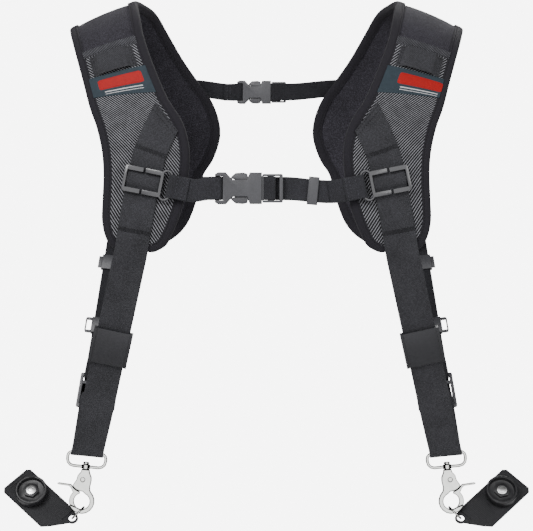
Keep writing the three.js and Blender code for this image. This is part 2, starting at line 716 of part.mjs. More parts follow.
function join(...geometries) {
  return toGeometry(geometries.map(toSolid).reduce((sum, solid) => sum.add(solid)));
}

function cut(geometry, ...tools) {
  return toGeometry(tools.map(toSolid).reduce((rest, tool) => rest.subtract(tool), toSolid(geometry)));
}

// A wire bent round a flat loop of points in the drawing plane.
function wireLoop(points, radius, sides = 8) {
  const outlines = points.map((point, i) => {
    const before = points[(i + points.length - 1) % points.length];
    const after = points[(i + 1) % points.length];
    const side = vec(after[1] - before[1], before[0] - after[0], 0).normalize();
    return range(0, 2 * Math.PI, sides).slice(0, sides).map((angle) =>
      vec(point[0], point[1], 0)
        .addScaledVector(side, radius * Math.cos(angle))
        .add(vec(0, 0, radius * Math.sin(angle))));
  });
  return loft(outlines, true);
}

// Points round a rectangle with round corners, its top and bottom corners of two sizes.
function loopPoints(width, height, topRadius, bottomRadius, steps = 4) {
  const corner = (x, y, radius, start) => range(start, start + Math.PI / 2, steps).map((angle) =>
    [x + radius * Math.cos(angle), y + radius * Math.sin(angle)]);
  const half = width / 2;
  return [
    ...corner(half - topRadius, -topRadius, topRadius, 0),
    ...corner(-half + topRadius, -topRadius, topRadius, Math.PI / 2),
    ...corner(-half + bottomRadius, -height + bottomRadius, bottomRadius, Math.PI),
    ...corner(half - bottomRadius, -height + bottomRadius, bottomRadius, Math.PI * 1.5),
  ];
}

// The loop hangs on the strap's fold by its straight bar, with the swivel's boss in its lower side.
function swivelLoop() {
  const points = loopPoints(LOOP_WIDTH - LOOP_WIRE, LOOP_HEIGHT, LOOP_CORNER * 0.7, LOOP_CORNER, 3);
  const boss = rod(SWIVEL_BOSS / 2, SWIVEL_BOSS * 0.6).translate(0, -LOOP_HEIGHT, 0);
  const bore = rod(SWIVEL_PIN / 2 + GAP, SWIVEL_BOSS).translate(0, -LOOP_HEIGHT, 0);
  return cut(join(wireLoop(points, LOOP_WIRE / 2, 6), boss), bore);
}

const EYE = [HOOK_LENGTH * 0.017, -HOOK_LENGTH];
const RIVET = [HOOK_LENGTH * 0.035, -RIVET_PLACE];
const EYE_OUTER = EYE_RADIUS + EYE_WIRE;

function ringPoint(radius, degrees) {
  const angle = THREE.MathUtils.degToRad(degrees);
  return [EYE[0] + radius * Math.cos(angle), EYE[1] + radius * Math.sin(angle)];
}

// The angle round the eye, on the gate's side, where a circle about the rivet crosses one about the eye.
function crossingAngle(eyeCircle, rivetCircle) {
  const offset = [RIVET[0] - EYE[0], RIVET[1] - EYE[1]];
  const span = Math.hypot(...offset);
  const toRivet = Math.atan2(offset[1], offset[0]);
  const cosine = (eyeCircle ** 2 + span ** 2 - rivetCircle ** 2) / (2 * eyeCircle * span);
  return THREE.MathUtils.radToDeg(toRivet - Math.acos(THREE.MathUtils.clamp(cosine, -1, 1)));
}

// A point at a radius and an angle round the rivet.
function rivetPoint(radius, degrees) {
  const angle = THREE.MathUtils.degToRad(degrees);
  return [RIVET[0] + radius * Math.cos(angle), RIVET[1] + radius * Math.sin(angle)];
}

// The snap hook in its drawing plane: collar, body, curved back and nose, open towards the gate.
function snapHook() {
  const top = -LOOP_HEIGHT - SWIVEL_BOSS * 0.3 - GAP;
  const shoulder = top - 3.2;
  const noseOuter = 360 + crossingAngle(EYE_OUTER, GATE_REACH);
  const noseInner = 360 + crossingAngle(EYE_RADIUS, GATE_REACH);
  const outline = [
    [-4.6, top],
    [-5.2, shoulder],
    [-7.6, shoulder - 5],
    [-7.9, shoulder - 9],
    [-6.9, -RIVET_PLACE - 8],
    [-7.4, -RIVET_PLACE - 12],
    ...range(147, noseOuter, 10).map((angle) => ringPoint(EYE_OUTER, angle)),
    ...range(noseInner, 106, 9).map((angle) => ringPoint(EYE_RADIUS, angle)),
    ...range(-94, -35, 5).map((angle) => rivetPoint(TRIGGER_WEB, angle)),
    [10.6, -RIVET_PLACE - 3],
    [9.2, shoulder - 9],
    [8.4, shoulder - 4],
    [5.2, shoulder],
    [4.6, top],
  ];
  const body = cutPlate(polygon(outline), HOOK_WALL, 0.8);
  const left = RIVET[0] - RIVET_RADIUS - 2.6;
  const slot = block(30, 24, HOOK_SLOT, left + 15, RIVET[1] - 7, 0);
  const length = SWIVEL_BOSS * 0.6 + 2 * GAP + 1.5;
  const pin = rod(SWIVEL_PIN / 2, length, 14).translate(0, top - 0.8 + length / 2, 0);
  const head = rod(SWIVEL_HEAD / 2, 2.4, 14).translate(0, top + SWIVEL_BOSS * 0.6 + 2 * GAP + 1.2, 0);
  const rivet = rod(RIVET_RADIUS, HOOK_WALL + 1.2, 12).rotateX(Math.PI / 2).translate(RIVET[0], RIVET[1], 0);
  return join(cut(body, slot), pin, head, rivet);
}

// The trigger turns on the rivet: a thin web in the hook's slot, and outside it the lever and the gate.
function hookTrigger() {
  const thick = TRIGGER_WEB + GAP;
  const webOutline = [
    ...range(-70, -40, 3).map((angle) => rivetPoint(thick + 1.5, angle)),
    ...range(-20, 200, 8).map((angle) => rivetPoint(RIVET_RADIUS + 2, angle)),
  ];
  const web = cutPlate(polygon(webOutline), HOOK_SLOT - 2 * GAP);
  const gateEnd = GATE_REACH - GAP;
  const lever = RIVET[1] - LEVER_LENGTH * 0.22;
  const tip = RIVET[0] + LEVER_LENGTH * 0.96;
  const outline = [
    ...range(-80, -28, 5).map((angle) => rivetPoint(thick, angle)),
    [tip - 2, lever + LEVER_WALL * 0.3],
    [tip, lever - LEVER_WALL * 0.2],
    [tip - 1.5, lever - LEVER_WALL * 0.75],
    [RIVET[0] + LEVER_LENGTH * 0.5, lever - LEVER_WALL],
    [RIVET[0] + LEVER_LENGTH * 0.42, lever - LEVER_WALL * 2],
    ...range(40, crossingAngle(EYE_OUTER, gateEnd), 7).map((angle) => ringPoint(EYE_OUTER, angle)),
    ...range(crossingAngle(EYE_RADIUS, gateEnd), 72, 8).map((angle) => ringPoint(EYE_RADIUS, angle)),
  ];
  const gate = cutPlate(polygon(outline), HOOK_WALL - 0.6, 0.6);
  const bore = rod(RIVET_RADIUS + GAP, HOOK_WALL * 2).rotateX(Math.PI / 2).translate(...RIVET, 0);
  return cut(join(web, gate), bore);
}

// The ring passes through the hook's eye at one end and the plate's lug at the other.
const RING_EYE_END = ringPoint(EYE_RADIUS - 2 * GAP - RING_WIRE / 2, -115);
const RING_LUG_END = [RING_EYE_END[0] + 11.4, RING_EYE_END[1] - 13.4];
const RING_LENGTH = Math.hypot(RING_LUG_END[0] - RING_EYE_END[0], RING_LUG_END[1] - RING_EYE_END[1]);

function plateRing() {
  const corner = RING_HALF_WIDTH - 0.05;
  const points = loopPoints(2 * RING_HALF_WIDTH, RING_LENGTH, corner, corner, 3);
  return wireLoop(points, RING_WIRE / 2, 6);
}

// The plate's outline: a rectangle with cut corners and a round lug at its hook end.
function plateOutline() {
  const half = PLATE_LENGTH / 2;
  const side = PLATE_WIDTH / 2;
  const lug = [half + LUG_REACH, -LUG_OFFSET];
  const tip = range(-75, 75, 6).map((degrees) => {
    const angle = THREE.MathUtils.degToRad(degrees);
    return [lug[0] + LUG_RADIUS * Math.cos(angle), lug[1] + LUG_RADIUS * Math.sin(angle)];
  });
  const points = [
    [-half, side - PLATE_CHAMFER * 0.45],
    [-half, -side + PLATE_CHAMFER * 0.45],
    [-half + PLATE_CHAMFER * 0.45, -side],
    [half - PLATE_CHAMFER * 0.4, -side],
    ...tip,
    [half - PLATE_CHAMFER * 0.3, side - PLATE_CHAMFER],
    [half - PLATE_CHAMFER * 1.2, side],
    [-half + PLATE_CHAMFER * 0.45, side],
  ];
  const shape = polygon(points);
  const hole = new THREE.Path();
  hole.absarc(lug[0], lug[1], LUG_HOLE, 0, 2 * Math.PI);
  shape.holes.push(hole);
  return shape;
}

function cameraPlate() {
  const body = cutPlate(plateOutline(), PLATE_WALL, 0.8);
  const thinned = (side) => block(LUG_RADIUS * 4, LUG_RADIUS * 3, PLATE_WALL,
    PLATE_LENGTH / 2 + LUG_RADIUS * 2 + 1.5, -LUG_OFFSET, side * PLATE_WALL * 0.8);
  const grooves = [3.4, 6.4].map((inside) =>
    block(1, PLATE_WIDTH * 0.62, 1, -PLATE_LENGTH / 2 + inside, 0, PLATE_WALL / 2));
  const bore = rod(SCREW_RADIUS + GAP, PLATE_WALL * 2, 12).rotateX(Math.PI / 2).translate(-DISC_OFFSET, 0, 0);
  return cut(body, thinned(-1), thinned(1), ...grooves, bore);
}

// The thumb disc: a raised rim round a recess, with a six-sided boss in the middle.
function screwDisc() {
  const rimInner = DISC_RADIUS - DISC_RIM;
  const profile = [
    [SCREW_RADIUS + GAP, 0],
    [DISC_RADIUS - 1, 0],
    [DISC_RADIUS, 1],
    [DISC_RADIUS, DISC_HEIGHT - 0.8],
    [DISC_RADIUS - 0.8, DISC_HEIGHT],
    [rimInner, DISC_HEIGHT],
    [rimInner - 1, DISC_HEIGHT - DISC_RECESS],
    [SCREW_RADIUS + GAP, DISC_HEIGHT - DISC_RECESS],
    [SCREW_RADIUS + GAP, 0],
  ];
  const dish = turned(profile, 20);
  const bossHeight = DISC_RECESS - 1.6;
  const boss = rod(BOSS_RADIUS, bossHeight + 1, 6).rotateX(Math.PI / 2)
    .translate(0, 0, DISC_HEIGHT - DISC_RECESS + (bossHeight - 1) / 2);
  const bore = rod(SCREW_RADIUS + GAP, DISC_HEIGHT * 3, 12).rotateX(Math.PI / 2);
  return cut(join(dish, boss), bore);
}

// The quarter-inch screw with its bright collar, flush with the disc's rim.
function cameraScrew() {
  const boss = DISC_HEIGHT - 1.6;
  const profile = [
    [0, -PLATE_WALL + 1],
    [SCREW_RADIUS, -PLATE_WALL + 1],
    [SCREW_RADIUS, boss + GAP],
    [COLLAR_RADIUS, boss + GAP],
    [COLLAR_RADIUS, DISC_HEIGHT - 0.9],
    [SCREW_RADIUS, DISC_HEIGHT - 0.9],
    [SCREW_RADIUS - 0.4, DISC_HEIGHT - 0.4],
    [0, DISC_HEIGHT - 0.4],
  ];
  return turned(profile, 12);
}

// A flat rail frame across the webbing, its two long bars along the webbing, and cross bars at given places.
function railFrame(length, opening, wall, bars) {
  const outerWidth = opening + 2 * FITTING_RAIL;
  const openings = [];
  const ends = bars.map((bar) => [bar.place - bar.width / 2, bar.place + bar.width / 2]).flat();
  for (let i = 1; i + 1 < ends.length; i += 2) {
    const low = ends[i];
    const high = ends[i + 1];
    openings.push(block(opening, high - low, wall * 2, 0, (low + high) / 2));
  }
  return cut(cutPlate(roundedRectangle(outerWidth, length, 2), wall, 0, 2), ...openings);
}

const STRAP_OPENING = STRAP_WIDTH + 2 * RUNNING_GAP;

// The rear adjuster: a top bar for the rear strap, a second bar close below it and a bottom bar.
function rearAdjuster() {
  const half = ADJUSTER_LENGTH / 2;
  return railFrame(ADJUSTER_LENGTH, STRAP_OPENING, ADJUSTER_WALL, [
    { place: -half + ADJUSTER_BAR / 2, width: ADJUSTER_BAR },
    { place: -half + ADJUSTER_BAR * 2.6, width: ADJUSTER_BAR * 0.8 },
    { place: half - ADJUSTER_BAR / 2, width: ADJUSTER_BAR },
  ]);
}

// A flat box round the webbing: a front wall, a back wall and two sides.
function sleeve(width, length, inner, frontWall, backWall, sideWall) {
  const depth = inner + frontWall + backWall;
  const shape = roundedRectangle(width + 2 * sideWall, depth, 0.9, 0, (frontWall - backWall) / 2);
  return cut(cutPlate(shape, length, 0, 2), block(width, inner, length * 2)).rotateX(Math.PI / 2);
}

// The stopper's box with two raised rails along its sides.
function strapStopper() {
  const inner = STRAP_WALL + 2 * RUNNING_GAP;
  const box = sleeve(STRAP_OPENING, STOPPER_HEIGHT, inner, STOPPER_WALL, STOPPER_BACK_WALL, STOPPER_RAIL);
  const face = inner / 2 + STOPPER_WALL;
  const place = (STRAP_OPENING + STOPPER_RAIL) / 2;
  const height = face + STOPPER_RAIL_RISE - STOPPER_WALL / 2;
  const rail = (side) => block(STOPPER_RAIL, STOPPER_HEIGHT, STOPPER_WALL, side * place, 0, height);
  return join(box, rail(-1), rail(1));
}

// The slide holds the carry strap's tail on the rear strap, with an eye for a finger on its outer side.
function rearSlide() {
  const inner = 2 * STRAP_WALL + 2 * GAP + 2 * RUNNING_GAP;
  const box = sleeve(STRAP_OPENING, SLIDE_LENGTH, inner, KEEPER_WALL, KEEPER_WALL, KEEPER_WALL);
  const eye = roundedRectangle(FINGER_EYE + KEEPER_WALL, SLIDE_LENGTH, 2.4);
  const eyeHole = block(FINGER_EYE - KEEPER_WALL, SLIDE_LENGTH - 6, SLIDE_LENGTH);
  const place = STRAP_OPENING / 2 + (FINGER_EYE + KEEPER_WALL) / 2 + 0.4;
  return join(box, cut(cutPlate(eye, 2.4, 0, 2), eyeHole).translate(place, 0, 0));
}

function rearKeeper() {
  const inner = STRAP_WALL + 3 * RUNNING_GAP;
  const box = sleeve(STRAP_OPENING, REAR_KEEPER_LENGTH, inner, KEEPER_WALL, KEEPER_WALL, KEEPER_WALL);
  const tab = block(4.5, REAR_KEEPER_LENGTH * 0.8, 2.4, STRAP_OPENING / 2 + KEEPER_WALL + 1.6, 0, 0);
  return join(box, tab);
}

function chestKeeper() {
  const width = CHEST_WEBBING_WIDTH + 2 * RUNNING_GAP;
  const inner = 2 * CHEST_WEBBING_WALL + 3 * GAP + 2 * RUNNING_GAP;
  return sleeve(width, KEEPER_LENGTH, inner, KEEPER_WALL, KEEPER_WALL, KEEPER_WALL * 1.3);
}

// The chest slider: a frame over the carry strap, split in the middle of its end bars, a bar under the
// strap, and an oval loop on its inner side. Heights count from the pad's face.
const SLIDER_LOW = SKIN + GAP;
const SLIDER_TOP_BARS = SLIDER_LOW + STRAP_WALL + 2 * GAP;
const SLIDER_MIDDLE = SLIDER_TOP_BARS + SLIDER_WALL / 2;
const SLIDER_NEAR_BAR = -(STRAP_OPENING + SLIDER_SIDE_BAR) / 2;
const SLIDER_LOOP_BAR = SLIDER_NEAR_BAR - SLIDER_LOOP_WIDTH + SLIDER_LOOP_WIRE * 0.75;

function chestSlider() {
  const width = STRAP_OPENING + 2 * SLIDER_SIDE_BAR;
  const shape = roundedRectangle(width, SLIDER_HEIGHT, 3);
  const inside = SLIDER_HEIGHT - 2 * SLIDER_BAR;
  const window = block(STRAP_OPENING, inside, SLIDER_WALL * 2);
  const frame = cut(cutPlate(shape, SLIDER_WALL, 0, 2), window).translate(0, 0, SLIDER_MIDDLE);
  const slit = block(SLIDER_GAP, SLIDER_HEIGHT * 2, SLIDER_WALL * 2, 0, 0, SLIDER_MIDDLE);
  const railDepth = SLIDER_MIDDLE - SLIDER_LOW;
  const rail = (side) => block(SLIDER_SIDE_BAR * 0.9, SLIDER_HEIGHT * 0.7, railDepth,
    side * (STRAP_OPENING + SLIDER_SIDE_BAR) / 2, 0, SLIDER_LOW + railDepth / 2);
  const bar = block(STRAP_OPENING + SLIDER_SIDE_BAR, SLIDER_BAR, SLIDER_CENTRE_WALL, 0, 0,
    SLIDER_LOW + SLIDER_CENTRE_WALL / 2);
  const loopWidth = SLIDER_NEAR_BAR - SLIDER_LOOP_BAR;
  const loopHeight = SLIDER_LOOP_HEIGHT - SLIDER_LOOP_WIRE;
  const corner = loopWidth / 2 - 0.05;
  const loop = wireLoop(loopPoints(loopWidth, loopHeight, corner, corner, 3), SLIDER_LOOP_WIRE / 2, 6)
    .translate((SLIDER_NEAR_BAR + SLIDER_LOOP_BAR) / 2, loopHeight / 2, SLIDER_MIDDLE);
  return join(cut(frame, slit), rail(-1), rail(1), bar, loop);
}

// Side-release buckle. X runs from the female half (negative) to the male half, zero at the mouth.
// Every length is a share of the webbing's width.
const BUCKLE = {
  female: 2.0,
  femaleBar: 0.19,
  femaleSlot: 0.15,
  half: 0.67,
  wall: 0.4,
  slotHalf: 0.516,
  pocket: 1.44,
  pocketHalf: 0.536,
  pocketWall: 0.25,
  maleFrame: 0.89,
  maleBase: 0.07,
  maleSlot: 0.16,
  maleBar: 0.29,
  maleEndBar: 0.145,
  maleWall: 0.2,
  maleHalf: 0.61,
};

// The female half: wings at its rear corners, a notch in each side and a pocket for the prongs.
function buckleFemale(webbing) {
  const at = (points) => points.map(([x, y]) => [x * webbing, y * webbing]);
  const upper = [
    [0, BUCKLE.half],
    [-0.52, BUCKLE.half],
    [-0.64, 0.36],
    [-1.24, 0.36],
    [-1.54, 0.68],
    [-1.86, 0.68],
    [-BUCKLE.female, 0.6],
  ];
  const lower = upper.map(([x, y]) => [x, -y]).reverse();
  const shape = polygon(at([...lower, ...upper]));
  const slotMiddle = -BUCKLE.female + BUCKLE.femaleBar + BUCKLE.femaleSlot / 2;
  const slotHeight = 2 * BUCKLE.slotHalf * webbing;
  const slot = block(BUCKLE.femaleSlot * webbing, slotHeight, 40, slotMiddle * webbing);
  const body = cutPlate(shape, BUCKLE.wall * webbing, 0.6, 2);
  const pocketDepth = BUCKLE.pocket * webbing;
  const pocket = block(pocketDepth + 2, 2 * BUCKLE.pocketHalf * webbing, BUCKLE.pocketWall * webbing,
    1 - pocketDepth / 2);
  const barHalf = BUCKLE_BAR_WALL / 2;
  const thin = (side) => block(BUCKLE.femaleBar * webbing + 2, slotHeight, 20,
    (-BUCKLE.female + BUCKLE.femaleBar / 2) * webbing - 0.99, 0, side * (barHalf + 10));
  return cut(body, slot, pocket, thin(-1), thin(1));
}

// The male half: two prongs with round shoulders, a guide between them, and a ladder frame for the webbing.
function buckleMale(webbing) {
  const at = (points) => points.map(([x, y]) => [x * webbing, y * webbing]);
  const slotEnds = [BUCKLE.maleBase, BUCKLE.maleBase + BUCKLE.maleSlot];
  const barEnd = slotEnds[1] + BUCKLE.maleBar;
  const endBar = BUCKLE.maleFrame - BUCKLE.maleEndBar;
  const start = GAP;
  const frame = roundedRectangle(BUCKLE.maleFrame * webbing - start, 2 * BUCKLE.maleHalf * webbing, 1.6,
    (BUCKLE.maleFrame * webbing + start) / 2);
  const opening = (from, to) =>
    block((to - from) * webbing, 2 * BUCKLE.slotHalf * webbing, 20, (from + to) * webbing / 2);
  const ladder = cutPlate(frame, BUCKLE.maleWall * webbing, 0, 2);
  const thin = (side) => block((barEnd - slotEnds[1]) * webbing + 0.4, 2 * BUCKLE.slotHalf * webbing, 12,
    (barEnd + slotEnds[1]) * webbing / 2, 0, side * (BUCKLE_MIDDLE_WALL / 2 + 6));
  const prong = (side) => cutPlate(polygon(at([
    [0.04, 0.3 * side],
    [0.04, 0.51 * side],
    [-0.6, 0.51 * side],
    [-0.62, 0.62 * side],
    [-0.8, 0.67 * side],
    [-1.12, 0.65 * side],
    [-1.3, 0.5 * side],
    [-1.32, 0.42 * side],
    [-1.05, 0.34 * side],
  ])), 0.21 * webbing);
  const guide = block(1.24 * webbing, 0.18 * webbing, 0.18 * webbing, -0.58 * webbing);
  const base = block(0.1 * webbing, 1.02 * webbing, 0.21 * webbing, 0);
  const openings = [opening(slotEnds[0], slotEnds[1]), opening(barEnd, endBar)];
  return join(cut(ladder, ...openings, thin(-1), thin(1)), prong(1), prong(-1), guide, base);
}

// A flap laid back on a strap: distances from the fold and heights over the bar's middle.
const flapHeight = (distance, radius, wall) =>
  mix(radius, -radius + wall + GAP, smooth(THREE.MathUtils.clamp(distance / 9, 0, 1)));

// The slider's frame of axes on the pad at +X: the carry strap's direction across, up and outward.
const SLIDER_PLACE = FRONT_PLACES.reduce((best, place) =>
  (Math.abs(place.point.z + CHEST_HEIGHT) < Math.abs(best.point.z + CHEST_HEIGHT) ? place : best));
const SLIDER_OUT = SLIDER_PLACE.surface.normal.clone();
const SLIDER_ACROSS = SLIDER_PLACE.across.clone();
const SLIDER_UP = SLIDER_OUT.clone().cross(SLIDER_ACROSS).normalize();
const SLIDER_BAR_POINT = SLIDER_PLACE.surface.point.clone()
  .addScaledVector(SLIDER_ACROSS, SLIDER_LOOP_BAR)
  .addScaledVector(SLIDER_OUT, SLIDER_MIDDLE);

const CHEST_FOLD = SLIDER_LOOP_WIRE / 2 + 1.7 * GAP + CHEST_WEBBING_WALL / 2;

// A chest strap on the +X side from its flap round the slider's bar to a buckle's rear, at a forward offset.
function chestRun(buckleEnd, forward) {
  const place = (distance, height) => ({
    point: SLIDER_BAR_POINT.clone()
      .addScaledVector(SLIDER_ACROSS, -distance)
      .addScaledVector(SLIDER_OUT, height),
    across: SLIDER_UP,
  });
  const flap = [FLAP_LENGTH, 13, 9, 6, 3].map((distance) =>
    place(distance, flapHeight(distance, CHEST_FOLD, CHEST_WEBBING_WALL)));
  const fold = range(0, Math.PI, 4).map((angle) =>
    place(-CHEST_FOLD * Math.sin(angle), CHEST_FOLD * Math.cos(angle)));
  const start = place(FLAP_LENGTH + 3, -CHEST_FOLD).point;
  const end = vec(buckleEnd, -CHEST_FORWARD + forward, -CHEST_HEIGHT - CHEST_SAG);
  const reach = start.distanceTo(end) / 3;
  const curve = new THREE.CubicBezierCurve3(
    start,
    start.clone().addScaledVector(SLIDER_ACROSS, -reach),
    end.clone().add(vec(reach, 0, 0)),
    end,
  );
  const run = range(0, 1, 8).map((share) => ({
    point: curve.getPoint(share),
    across: SLIDER_UP.clone().lerp(vec(0, 0, 1), smooth(share)).normalize(),
  }));
  return [...flap, ...fold, ...run];
}

const mirrored = (places) => places.map(({ point, across }) => ({
  point: vec(-point.x, point.y, point.z),
  across: vec(-across.x, across.y, across.z),
}));

// The webbing's way through a buckle half, in the buckle's drawing frame: distance along X and height.
function maleThread(webbing, wall) {
  const slot = BUCKLE.maleBase + BUCKLE.maleSlot;
  const near = slot * webbing - GAP - wall / 2;
  const far = (slot + BUCKLE.maleBar) * webbing + GAP + wall / 2;
  const over = BUCKLE_MIDDLE_WALL / 2 + GAP + wall / 2;
  const tail = -(BUCKLE.maleWall * webbing / 2 + GAP + wall / 2) - 0.1;
  const main = tail - wall - GAP;
  const turn = over * 0.8;
  return {
    main,
    tail,
    points: [
      [near + 3 * wall, main],
      [near + 0.9 * wall, main + 0.3],
      [near, main + 1.4],
      [near, 0],
      [near + 0.3, turn],
      [near + 1.2, over],
      [far - 1.2, over],
      [far - 0.3, turn],
      [far, 0],
      [far + 0.2, tail * 0.5],
      [far + 0.9, tail * 0.9],
      [far + 2.2, tail],
    ],
  };
}

// Fall is how far the run has left the buckle's line by the end of the flap behind it.
function femaleThread(webbing, wall, fall) {
  const inner = (-BUCKLE.female + BUCKLE.femaleBar) * webbing;
  const height = BUCKLE_BAR_WALL / 2 + GAP + wall / 2;
  const round = GAP + wall / 2;
  return {
    main: height,
    points: [
      [inner - BUCKLE.femaleBar * webbing, height],
      [inner - 0.6, height],
      [inner + round * 0.7, height * 0.75],
      [inner + round, 0],
      [inner + round * 0.7, -height * 0.75],
      [inner - 0.6, -height],
      [inner - BUCKLE.femaleBar * webbing, -height],
      [inner - BUCKLE.femaleBar * webbing - 8, -height + 0.6 * height],
      [inner - FLAP_LENGTH, height - wall - GAP - fall],
    ],
  };
}

const chestPoint = ([along, height]) => ({
  point: vec(CHEST_MOUTH + along, -CHEST_FORWARD - height, -CHEST_HEIGHT - CHEST_SAG),
  across: vec(0, 0, 1),
});

function chestStrapLeft() {
  const thread = femaleThread(CHEST_WEBBING_WIDTH, CHEST_WEBBING_WALL, CHEST_FLAP_FALL);
  const end = -(CHEST_MOUTH + thread.points[0][0]) + 4;
  return ribbon(
    [...mirrored(chestRun(end, -thread.main)), ...thread.points.map(chestPoint)],
    CHEST_WEBBING_WIDTH,
    CHEST_WEBBING_WALL,
  );
}

// The right chest strap goes through the male half and its tail returns in front of it, under the keeper.
function chestStrapRight() {
  const thread = maleThread(CHEST_WEBBING_WIDTH, CHEST_WEBBING_WALL);
  const end = CHEST_MOUTH + BUCKLE.maleFrame * CHEST_WEBBING_WIDTH + 1;
  const run = chestRun(end, -thread.main);
  const back = run.slice(-9).reverse();
  const tail = back.slice(0, 7).map(({ point, across }, i) => {
    const along = back[i + 1].point.clone().sub(point).normalize();
    const out = across.clone().cross(along).normalize();
    const towards = out.y < 0 ? 1 : -1;
    return { point: point.clone().addScaledVector(out, towards * (CHEST_WEBBING_WALL + GAP)), across };
  });
  return ribbon([...run, ...thread.points.map(chestPoint), ...tail], CHEST_WEBBING_WIDTH, CHEST_WEBBING_WALL);
}

// Where the keeper sits on the right chest strap, midway between the strap and its tail.
function chestKeeperPlace() {
  const thread = maleThread(CHEST_WEBBING_WIDTH, CHEST_WEBBING_WALL);
  const end = CHEST_MOUTH + BUCKLE.maleFrame * CHEST_WEBBING_WIDTH + 1;
  const run = chestRun(end, -thread.main).slice(-9).reverse();
  const here = run[4];
  const along = run[5].point.clone().sub(run[3].point).normalize();
  const out = along.clone().cross(here.across).normalize();
  const point = here.point.clone().addScaledVector(out, (CHEST_WEBBING_WALL + GAP) / 2);
  return { point, across: out.clone().cross(along), out };
}

// A back strap on the +X side from its sewn end on the lobe's outer face to a buckle's rear.
function backRun(buckleEnd, offset) {
  const height = -BACK_STRAP_HEIGHT;
  const seat = range(0, 1, 4).map((share) => {
    const out = mix(BACK_SEAT_OUT, BACK_SEAT_EDGE, share);
    const place = placeOnPad(out, height + BACK_STRAP_RISE, false);
    const frame = padFrame(place.station, place.across);
    const climb = smooth(THREE.MathUtils.clamp(share * 1.6, 0, 1));
    const lift = mix(GAP, SKIN + GAP, climb) + BACK_WEBBING_WALL / 2;
    const across = frame.normal.clone().cross(vec(-1, 0, 0)).normalize();
    return { point: frame.point.clone().addScaledVector(frame.normal, lift), across };
  });
  const start = seat[seat.length - 1].point;
  const leaving = start.clone().sub(seat[seat.length - 2].point).normalize();
  const end = vec(buckleEnd, BACK_BEHIND + offset, height);
  const reach = start.distanceTo(end) / 3;
  const curve = new THREE.CubicBezierCurve3(
    start,
    start.clone().addScaledVector(leaving, reach),
    end.clone().add(vec(reach, 0, 0)),
    end,
  );
  const run = range(0.12, 1, 7).map((share) => ({
    point: curve.getPoint(share),
    across: seat[seat.length - 1].across.clone().lerp(vec(0, 0, 1), smooth(share)).normalize(),
  }));
  return [...seat, ...run];
}

const backPoint = ([along, height]) => ({
  point: vec(BACK_MOUTH + along, BACK_BEHIND + height, -BACK_STRAP_HEIGHT),
  across: vec(0, 0, 1),
});

function backStrapLeft() {
  const thread = femaleThread(BACK_WEBBING_WIDTH, BACK_WEBBING_WALL, BACK_FLAP_FALL);
  const end = -(BACK_MOUTH + thread.points[0][0]) + 4;
  const places = [...mirrored(backRun(end, thread.main)), ...thread.points.map(backPoint)];
  return ribbon(places, BACK_WEBBING_WIDTH, BACK_WEBBING_WALL);
}

function backStrapRight() {
  const thread = maleThread(BACK_WEBBING_WIDTH, BACK_WEBBING_WALL);
  const end = BACK_MOUTH + BUCKLE.maleFrame * BACK_WEBBING_WIDTH + 1;
  const run = backRun(end, thread.main);
  const tail = run.slice(-3).reverse().map(({ point, across }) => ({
    point: point.clone().add(vec(0, BACK_WEBBING_WALL + 2 * GAP, 0)),
    across,
  }));
  return ribbon([...run, ...thread.points.map(backPoint), ...tail], BACK_WEBBING_WIDTH, BACK_WEBBING_WALL);
}

function add(parent, name, geometry, material) {
  const mesh = new THREE.Mesh(geometry, material);
  mesh.name = name;
  parent.add(mesh);
  return mesh;
}

// A group whose axes are three given directions.
function placed(parent, point, x, y, z) {
  const group = new THREE.Group();
  group.quaternion.setFromRotationMatrix(new THREE.Matrix4().makeBasis(x, y, z));
  group.position.copy(point);
  parent.add(group);
  return group;
}

// The pad with its covering, its sewn fittings and the webbing, on the side at +X.
function buildPad(side, label) {
  add(side, `shoulder_pad_${label}`, shoulderPad(), MATERIALS.neoprene);
  add(side, `edge_binding_${label}`, edgeBinding(), MATERIALS.binding);
  add(side, `mesh_panel_${label}`, meshPanel(), MATERIALS.spacer_mesh);
  add(side, `panel_hem_${label}`, panelHem(), MATERIALS.webbing);
  add(side, `label_patch_${label}`, labelPatch(), MATERIALS.label);
  add(side, `utility_loop_${label}`, utilityLoop(), MATERIALS.webbing);
  add(side, `carry_strap_${label}`, carryStrap(), MATERIALS.webbing);
  add(side, `rear_strap_${label}`, rearStrap(), MATERIALS.webbing);
}

function buildStrapFittings(side, label) {
  const slider = placed(side, SLIDER_PLACE.surface.point, SLIDER_ACROSS, SLIDER_UP, SLIDER_OUT);
  add(slider, `chest_slider_${label}`, chestSlider(), MATERIALS.slider);
  const stopperPoint = LOBE_END.point.clone().addScaledVector(FRONT_RUN, STOPPER_PLACE);
  const up = FRONT_OUT.clone().cross(FRONT_ACROSS);
  const stopper = placed(side, stopperPoint, FRONT_ACROSS, up, FRONT_OUT);
  add(stopper, `strap_stopper_${label}`, strapStopper(), MATERIALS.stopper);
  const onRear = (distance, height) =>
    placed(side, rearPlace(distance, height).point, REAR_ACROSS, REAR_RUN.clone().negate(), REAR_OUT);
  const adjuster = onRear(ADJUSTER_PLACE, REAR_HEIGHT - ADJUSTER_TURN);
  add(adjuster, `rear_adjuster_${label}`, rearAdjuster(), MATERIALS.stopper);
  const slide = onRear(SLIDE_PLACE, rearHeight(SLIDE_PLACE) + LAYER / 2);
  add(slide, `rear_slide_${label}`, rearSlide(), MATERIALS.stopper);
  const keeper = onRear(KEEPER_PLACE, rearHeight(KEEPER_PLACE));
  add(keeper, `rear_keeper_${label}`, rearKeeper(), MATERIALS.stopper);
}

